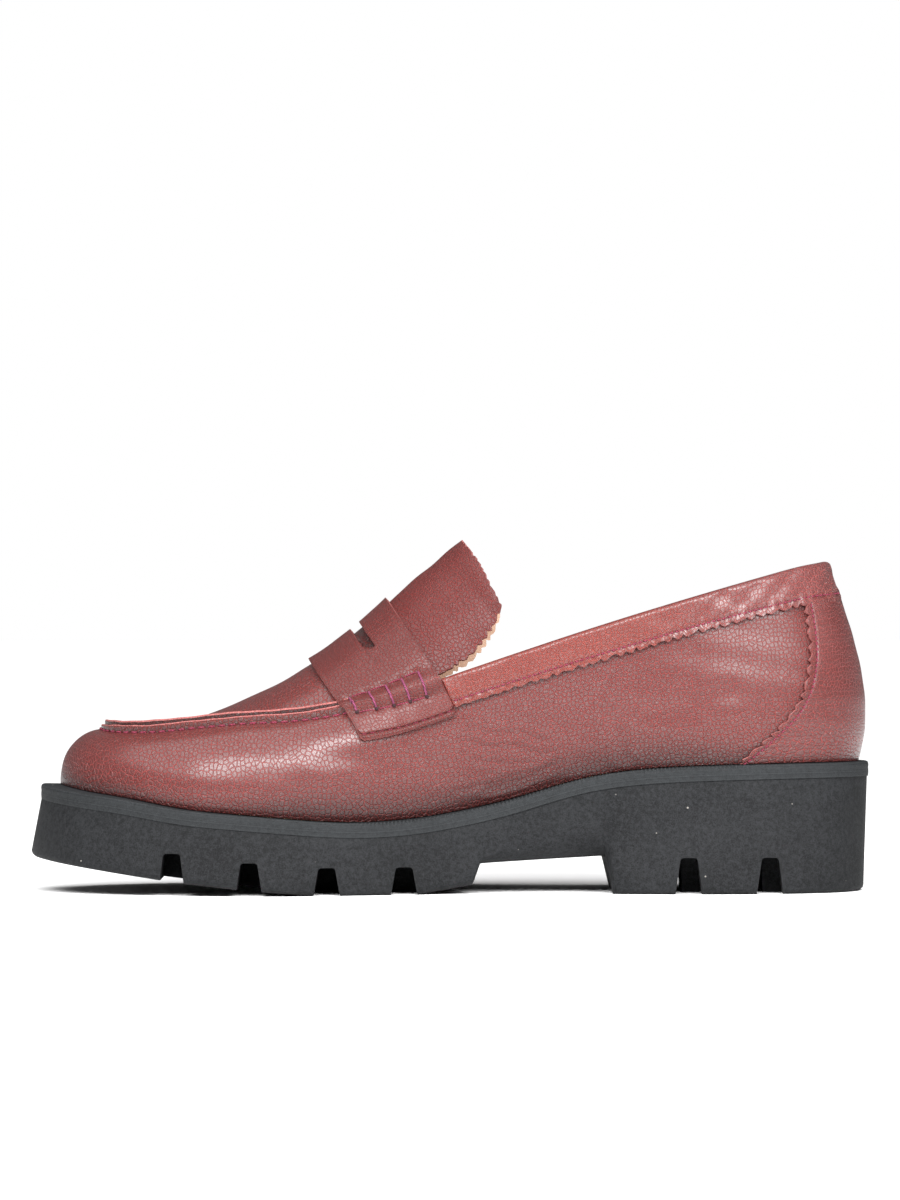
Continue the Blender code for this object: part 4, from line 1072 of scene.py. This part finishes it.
def build_stitches():
    """Machine stitches: along the collar band, the counter and the seam around the toe, and across the strap's hems."""
    end = band_end() - 0.02
    places = np.linspace(-end, end, 900)
    band = skin(places, below_top(places, band_depth(places) - STITCH_INSET), GAP + OVERLAY - STITCH_SUNK)
    share = np.linspace(0.0, 0.985, 220)
    edge = counter_edge(share)
    inset = edge - STITCH_INSET / stride(edge, 0.5)
    v = below_top(inset, band_depth(inset)) * share
    counter = [skin(side * inset, v, GAP + OVERLAY - STITCH_SUNK) for side in (-1, 1)]
    start = STRAP_FRONT - 0.05
    places = np.linspace(start, AROUND - start, 900)
    lip = skin(places, below_top(places, 0.0014), 0.00022)
    across = np.linspace(0.05, 0.95, 60)
    hems = [strap_point(across, 1.0 - HEM * (1.0 - strap_foot(across)), far, STRAP_THICKNESS - 0.00038)
            for far in (False, True)]
    return [sew(*row) for row in (("collar_stitches", [band], STITCH_PITCH, STITCH_LENGTH, THREAD),
                                  ("counter_stitches", counter, STITCH_PITCH, STITCH_LENGTH, THREAD),
                                  ("apron_stitches", [lip], 0.0034, 0.0027, THREAD * 1.25),
                                  ("hem_stitches", hems, 0.0027, 0.0019, THREAD * 0.6))]


def outline(place, reach, height=None):
    """Points out from the feather line, at its height or at one of their own."""
    points = feather(place) + outward(place) * np.asarray(reach, dtype=float)[..., None]
    if height is not None:
        points[..., 2] = height
    return points


def share_between(value, start, end):
    return np.clip((value - start) / (end - start), 0.0, 1.0)


HEEL_END = outline(0.0, RIB_AT(0.0)[10])[0]
TOE_END = outline(float(TOE), RIB_AT(float(TOE))[10] + RIB_AT(float(TOE))[11])[0]
BREAST = HEEL_END - HEEL_LENGTH
FOREPART_END = TOE_END + FOREPART_LENGTH
FLAT_END = FOREPART_END - FLAT_BACK
FLAT_START = FLAT_END - FLAT_LENGTH


def build_welt():
    """The strip around the shoe, drawn lengthwise on its face and ribbed along its top edge."""
    places, lengths = even_places(lambda p: outline(p, RIB_AT(p)[..., 10]), 0.0, float(AROUND), 2001)
    places, lengths = places[:-1], lengths[:-1]
    reach = RIB_AT(places)[:, 10] + WELT_PROUD
    line_z = feather(places)[:, 2]
    x = (feather(places)[:, 0] + CENTRE[0]) * MM
    strong = (blend_in(x, -36.0, -28.0) * (1.0 - blend_in(x, 46.0, 54.0))
              + blend_in(x, 60.0, 66.0) * (1.0 - blend_in(x, 92.0, 100.0)))
    ribs = ((0.00007 + 0.00022 * strong) * np.sin(lengths * 2 * math.pi / RIB_PITCH)
            * (0.8 + 0.2 * np.sin(lengths * 150.0)))
    t, r = WELT_THICKNESS, WELT_ROUND
    shelf = np.full(len(reach), -WELT_SHELF)
    # Around the section: how far out, height, share of the ribs
    section = [(shelf, -t, 0.0), (reach - WELT_PROUD, -t, 0.0)]
    section += [(reach + 0.00006 * math.sin(k * 2.3), height, rib) for k, (height, rib) in enumerate(
        ((-t - 0.0003, 0.0), (-t * 0.80, 0.0), (-t * 0.62, 0.0), (-t * 0.45, 0.0), (-t * 0.30, 0.0), (-r, 0.4)), 2)]
    section += [(reach - r * 0.30, -r * 0.35, 1.0), (reach - r, 0.0, 1.0), (reach - r - 0.0014, 0.0, 0.6),
                (shelf, 0.0, 0.0)]
    net = np.stack([outline(places, out + ribs * rib * 0.8, line_z + height + ribs * rib)
                    for out, height, rib in section], axis=1)
    level = np.tile([height / t for _, height, _ in section], len(places))
    return add_piece("welt_strip", net.reshape(-1, 3), quads(numbered(net, closed=True), wrap=True), [WELT_RUBBER],
                     level=level)


def tread_height(x):
    """Height of the tread's plane above the floor, with the springs of toe and forepart."""
    spring = share_between(x, FLAT_START, TOE_END)
    rear = np.where(x > BREAST - STEP_RUN, 0.0, share_between(x, FLAT_END, FOREPART_END))
    return TOE_SPRING * spring ** SPRING_SHAPE + REAR_SPRING * rear


def waist_share(x, back=0.0):
    """1 in the waist, 0 in heel and forepart."""
    front_step = blend_in(x, FOREPART_END - STEP_RUN * 0.1, FOREPART_END + STEP_RUN * 1.1)
    back_step = 1.0 - share_between(x, BREAST - STEP_RUN / 2 + back, BREAST + STEP_RUN / 2 + back)
    return front_step * back_step


def waist_height(x, cove):
    """Height of the waist's underside, and of its raised edge where cove is more than 0."""
    along = share_between(x, FOREPART_END, BREAST)
    return WAIST_FRONT + (WAIST_BACK - WAIST_FRONT) * along + cove * (COVE_FRONT + (COVE_BACK - COVE_FRONT) * along)


def sole_sections(places):
    """Points of half a cross section at each place: from the middle of the tread out and up to the welt."""
    rib = RIB_AT(places)
    reach, flare = rib[:, 10], rib[:, 11]
    cove = np.where(places <= TOE, 1.0, OUTER_COVE)
    x = feather(places)[:, 0]
    share, edge_share = waist_share(x), waist_share(x, CORNER_BACK)
    low = tread_height(x) * (1.0 - share) + waist_height(x, 0.0) * share
    inset = EDGE_ROUND + (COVE_INSET - EDGE_ROUND) * share
    edge = (tread_height(x) + EDGE_ROUND) * (1.0 - edge_share) + waist_height(x, cove) * edge_share
    top_z = feather(places)[:, 2] - WELT_THICKNESS + EDGE_SOFT    # its rounded edge is hidden behind the welt
    sections = [outline(places, reach + flare - inset * (1.0 - np.sin(angle)), edge - (edge - low) * np.cos(angle))
                for angle in np.radians((0.0, 30.0, 60.0, 90.0))]
    sections += [outline(places, reach + flare * (1.0 - up), edge + (top_z - edge) * up) for up in (0.35, 0.7, 1.0)]
    return np.stack(sections, axis=1)


def prism(x, low, high, foot, head, depth):
    """A tapered cutter along Y with a flat top and round corners."""
    top = float(tread_height(np.array(x))) + depth
    r = GROOVE_ROUND
    profile = [(-foot / 2, -CUT_BELOW), (-head / 2, top - r)]
    profile += [(side * (head / 2 - r + r * math.cos(angle)), top - r + r * math.sin(angle))
                for side, angles in ((-1, (20, 45, 70, 90)), (1, (90, 70, 45, 20))) for angle in np.radians(angles)]
    profile += [(head / 2, top - r), (foot / 2, -CUT_BELOW)]
    points, faces = capped(np.array([[(x + dx, y, z) for dx, z in profile] for y in (low, high)]))
    return points, faces[-2:] + faces[:-2]


def channel(start, end, depth, middle):
    """A long cutter along X."""
    xs = np.linspace(start, end, 9)
    tops = tread_height(xs) + depth - CHANNEL_STEP
    return capped(np.stack([stack(xs, middle + side * CHANNEL / 2, top)
                            for side, top in ((-1, -CUT_BELOW), (1, -CUT_BELOW), (1, tops), (-1, tops))], axis=1))


def sole_cutters():
    """Cutters for the grooves, all as one, and for each of the channels along the tread."""
    sides = ((-BALL_WIDTH, -SIDE_LUG), (SIDE_LUG, BALL_WIDTH))
    first, heel_last = TOE_END + GROOVE_FRONT, HEEL_END - HEEL_GROOVE_BACK
    cuts = []
    for i in range(GROOVES):
        x = first + GROOVE_PITCH * i
        cuts += [(x, *side, GROOVE_FOOT, GROOVE_HEAD, LUG_DEPTH) for side in sides]
        if i < GROOVES - 1:
            cuts.append((x + GROOVE_PITCH / 2, -SIDE_LUG, SIDE_LUG, CENTRE_GROOVE, GROOVE_HEAD, LUG_DEPTH))
    for i in range(HEEL_GROOVES):
        x = heel_last - HEEL_GROOVE_PITCH * i
        cuts += [(x, *side, GROOVE_FOOT, GROOVE_HEAD, HEEL_LUG_DEPTH) for side in sides]
        cuts.append((x - HEEL_CENTRE_SHIFT, -SIDE_LUG, SIDE_LUG, GROOVE_FOOT, CENTRE_GROOVE, HEEL_LUG_DEPTH))
    last = first + GROOVE_PITCH * (GROOVES - 1)
    heel_first = heel_last - HEEL_GROOVE_PITCH * (HEEL_GROOVES - 1) - HEEL_CENTRE_SHIFT
    bodies = [joined(prism(*cut) for cut in cuts)]
    bodies += [channel(start - GROOVE_HEAD, end + GROOVE_HEAD, depth, middle)
               for start, end, depth in ((first, last, LUG_DEPTH), (heel_first, heel_last, HEEL_LUG_DEPTH))
               for middle in (-SIDE_LUG, SIDE_LUG)]
    return [add_piece("sole_cutter", points, faces, [RUBBER]) for points, faces in bodies]


def build_outsole():
    """The lugged unit with its rounded grooves."""
    steps = 10
    front, back = BREAST - STEP_RUN / 2, BREAST + STEP_RUN / 2
    x_steps = np.array((FOREPART_END, FOREPART_END + STEP_RUN, front, back, front + CORNER_BACK, back + CORNER_BACK))
    fine = np.linspace(0.0, TOE, 4001)
    extra = np.interp(-x_steps, -feather(fine)[:, 0], fine)
    side = np.unique(np.round(np.concatenate([np.arange(0, TOE * steps + 1) / steps, extra]), 5))
    sole = add_piece("lugged_outsole", *mirrored_rings(sole_sections(side), sole_sections(AROUND - side)), [RUBBER])
    tools = sole_cutters()
    for tool in tools:
        cut = sole.modifiers.new(tool.name, 'BOOLEAN')
        cut.object = tool
        cut.operation = 'DIFFERENCE'
        cut.solver = 'EXACT'
        cut.use_self = True
    settle(sole)
    for tool in tools:
        bpy.data.objects.remove(tool, do_unlink=True)
    return soften(sole, EDGE_SOFT, 3, 38.0)


def build_footbed():
    """Insole board with its cover, slightly dished under the heel."""
    side = np.arange(0, TOE * 6 + 1) / 6
    clear = WALL + 2 * GAP
    corners = ((-WELT_SHELF - GAP, -WELT_THICKNESS), (-WELT_SHELF - GAP, GAP), (-clear, GAP), (-clear, INSOLE_RISE),
               (-clear - 0.006, INSOLE_RISE + 0.0002), (-clear - 0.011, INSOLE_RISE - 0.0001))
    halves = [np.stack([outline(places, np.full(len(places), reach), feather(places)[:, 2] + height)
                        for reach, height in corners], axis=1) for places in (side, AROUND - side)]
    return add_piece("footbed_cover", *mirrored_rings(*halves), [FOOTBED])


# Soft studio light: name, kind, place, target, width and height (one angle for the broad sky panel) and power
AMBIENT = 0.16
LIGHTS = (
    ("sky_panel", 'SUN', (-0.25, -0.45, 1.2), (0.0, 0.0, 0.0), (1.2, 1.2), 3.1),
    ("front_box", 'AREA', (-0.04, -1.02, 0.72), (-0.02, 0.0, 0.05), (1.10, 0.40), 22.0),
    ("heel_box", 'AREA', (0.56, -0.98, 0.60), (0.08, 0.0, 0.06), (0.80, 0.50), 12.0),
)


def pale_floor():
    mesh = bpy.data.meshes.new("floor")
    mesh.from_pydata([(-6, -4, 0), (6, -4, 0), (6, 12, 0), (-6, 12, 0)], [], [(0, 1, 2, 3)])
    look = Finish("pale_floor", Base_Color=(0.985, 0.985, 0.985, 1.0), Roughness=1.0, Specular_IOR_Level=0.0)
    mesh.materials.append(look.material)
    floor = shown("floor", mesh)


def white_world():
    """White where the camera sees it, and a dimmer light on the shoe."""
    world = bpy.context.scene.world or bpy.data.worlds.new("studio")
    bpy.context.scene.world = world
    world.use_nodes = True
    tree = world.node_tree
    seen, lit = tree.nodes["Background"], tree.nodes.new("ShaderNodeBackground")
    path, pick = tree.nodes.new("ShaderNodeLightPath"), tree.nodes.new("ShaderNodeMixShader")
    for background, strength in ((seen, 1.0), (lit, AMBIENT)):
        background.inputs[0].default_value = (1.0, 1.0, 1.0, 1.0)
        background.inputs[1].default_value = strength
    for source, target in ((path.outputs["Is Camera Ray"], pick.inputs[0]), (lit.outputs[0], pick.inputs[1]),
                           (seen.outputs[0], pick.inputs[2]), (pick.outputs[0], tree.nodes["World Output"].inputs[0])):
        tree.links.new(source, target)


def stage_and_lights():
    pale_floor()
    white_world()
    for name, kind, place, target, size, power in LIGHTS:
        light = bpy.data.lights.new(name, kind)
        light.energy = power
        if kind == 'SUN':
            light.angle = size[0]
        else:
            light.shape = 'RECTANGLE'
            light.size, light.size_y = size
        lamp = shown(name, light)
        lamp.location = place
        aim = np.array(target) - np.array(place)
        lamp.rotation_euler = (math.acos(-aim[2] / np.linalg.norm(aim)), 0.0, math.atan2(aim[1], aim[0]) - math.pi / 2)
    camera = bpy.data.cameras.new("photo_camera")
    camera.lens = 180.0
    camera.sensor_width = 36.0
    view = shown("photo_camera", camera)
    view.location = (0.0, -2.0, 0.0965)
    view.rotation_euler = (math.pi / 2, 0.0, 0.0)
    bpy.context.scene.camera = view
    bpy.context.scene.view_settings.view_transform = 'Standard'


def main():
    stage_and_lights()
    made = [(build(), node, slot) for build, node, slot in (
        (build_upper, "upper", "leather"),
        (build_strap, "saddle_strap", "leather"),
        (build_tongue, "tongue", "leather"),
        (build_band, "collar_band", "leather"),
        (build_counter, "heel_counter", "leather"),
        (build_welt, "welt", "sole_rubber"),
        (build_outsole, "outsole", "sole_rubber"),
        (build_footbed, "insole", "footbed"),
    )]
    made += [(lip, "apron_seam", "raw_edge") for lip in build_lip()]
    made += [(piece, None, "raw_edge") for piece in build_hand_stitches() + build_stitches()]
    for piece, node, slot in made:
        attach(piece, "root")
        if node:
            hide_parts(node)


main()
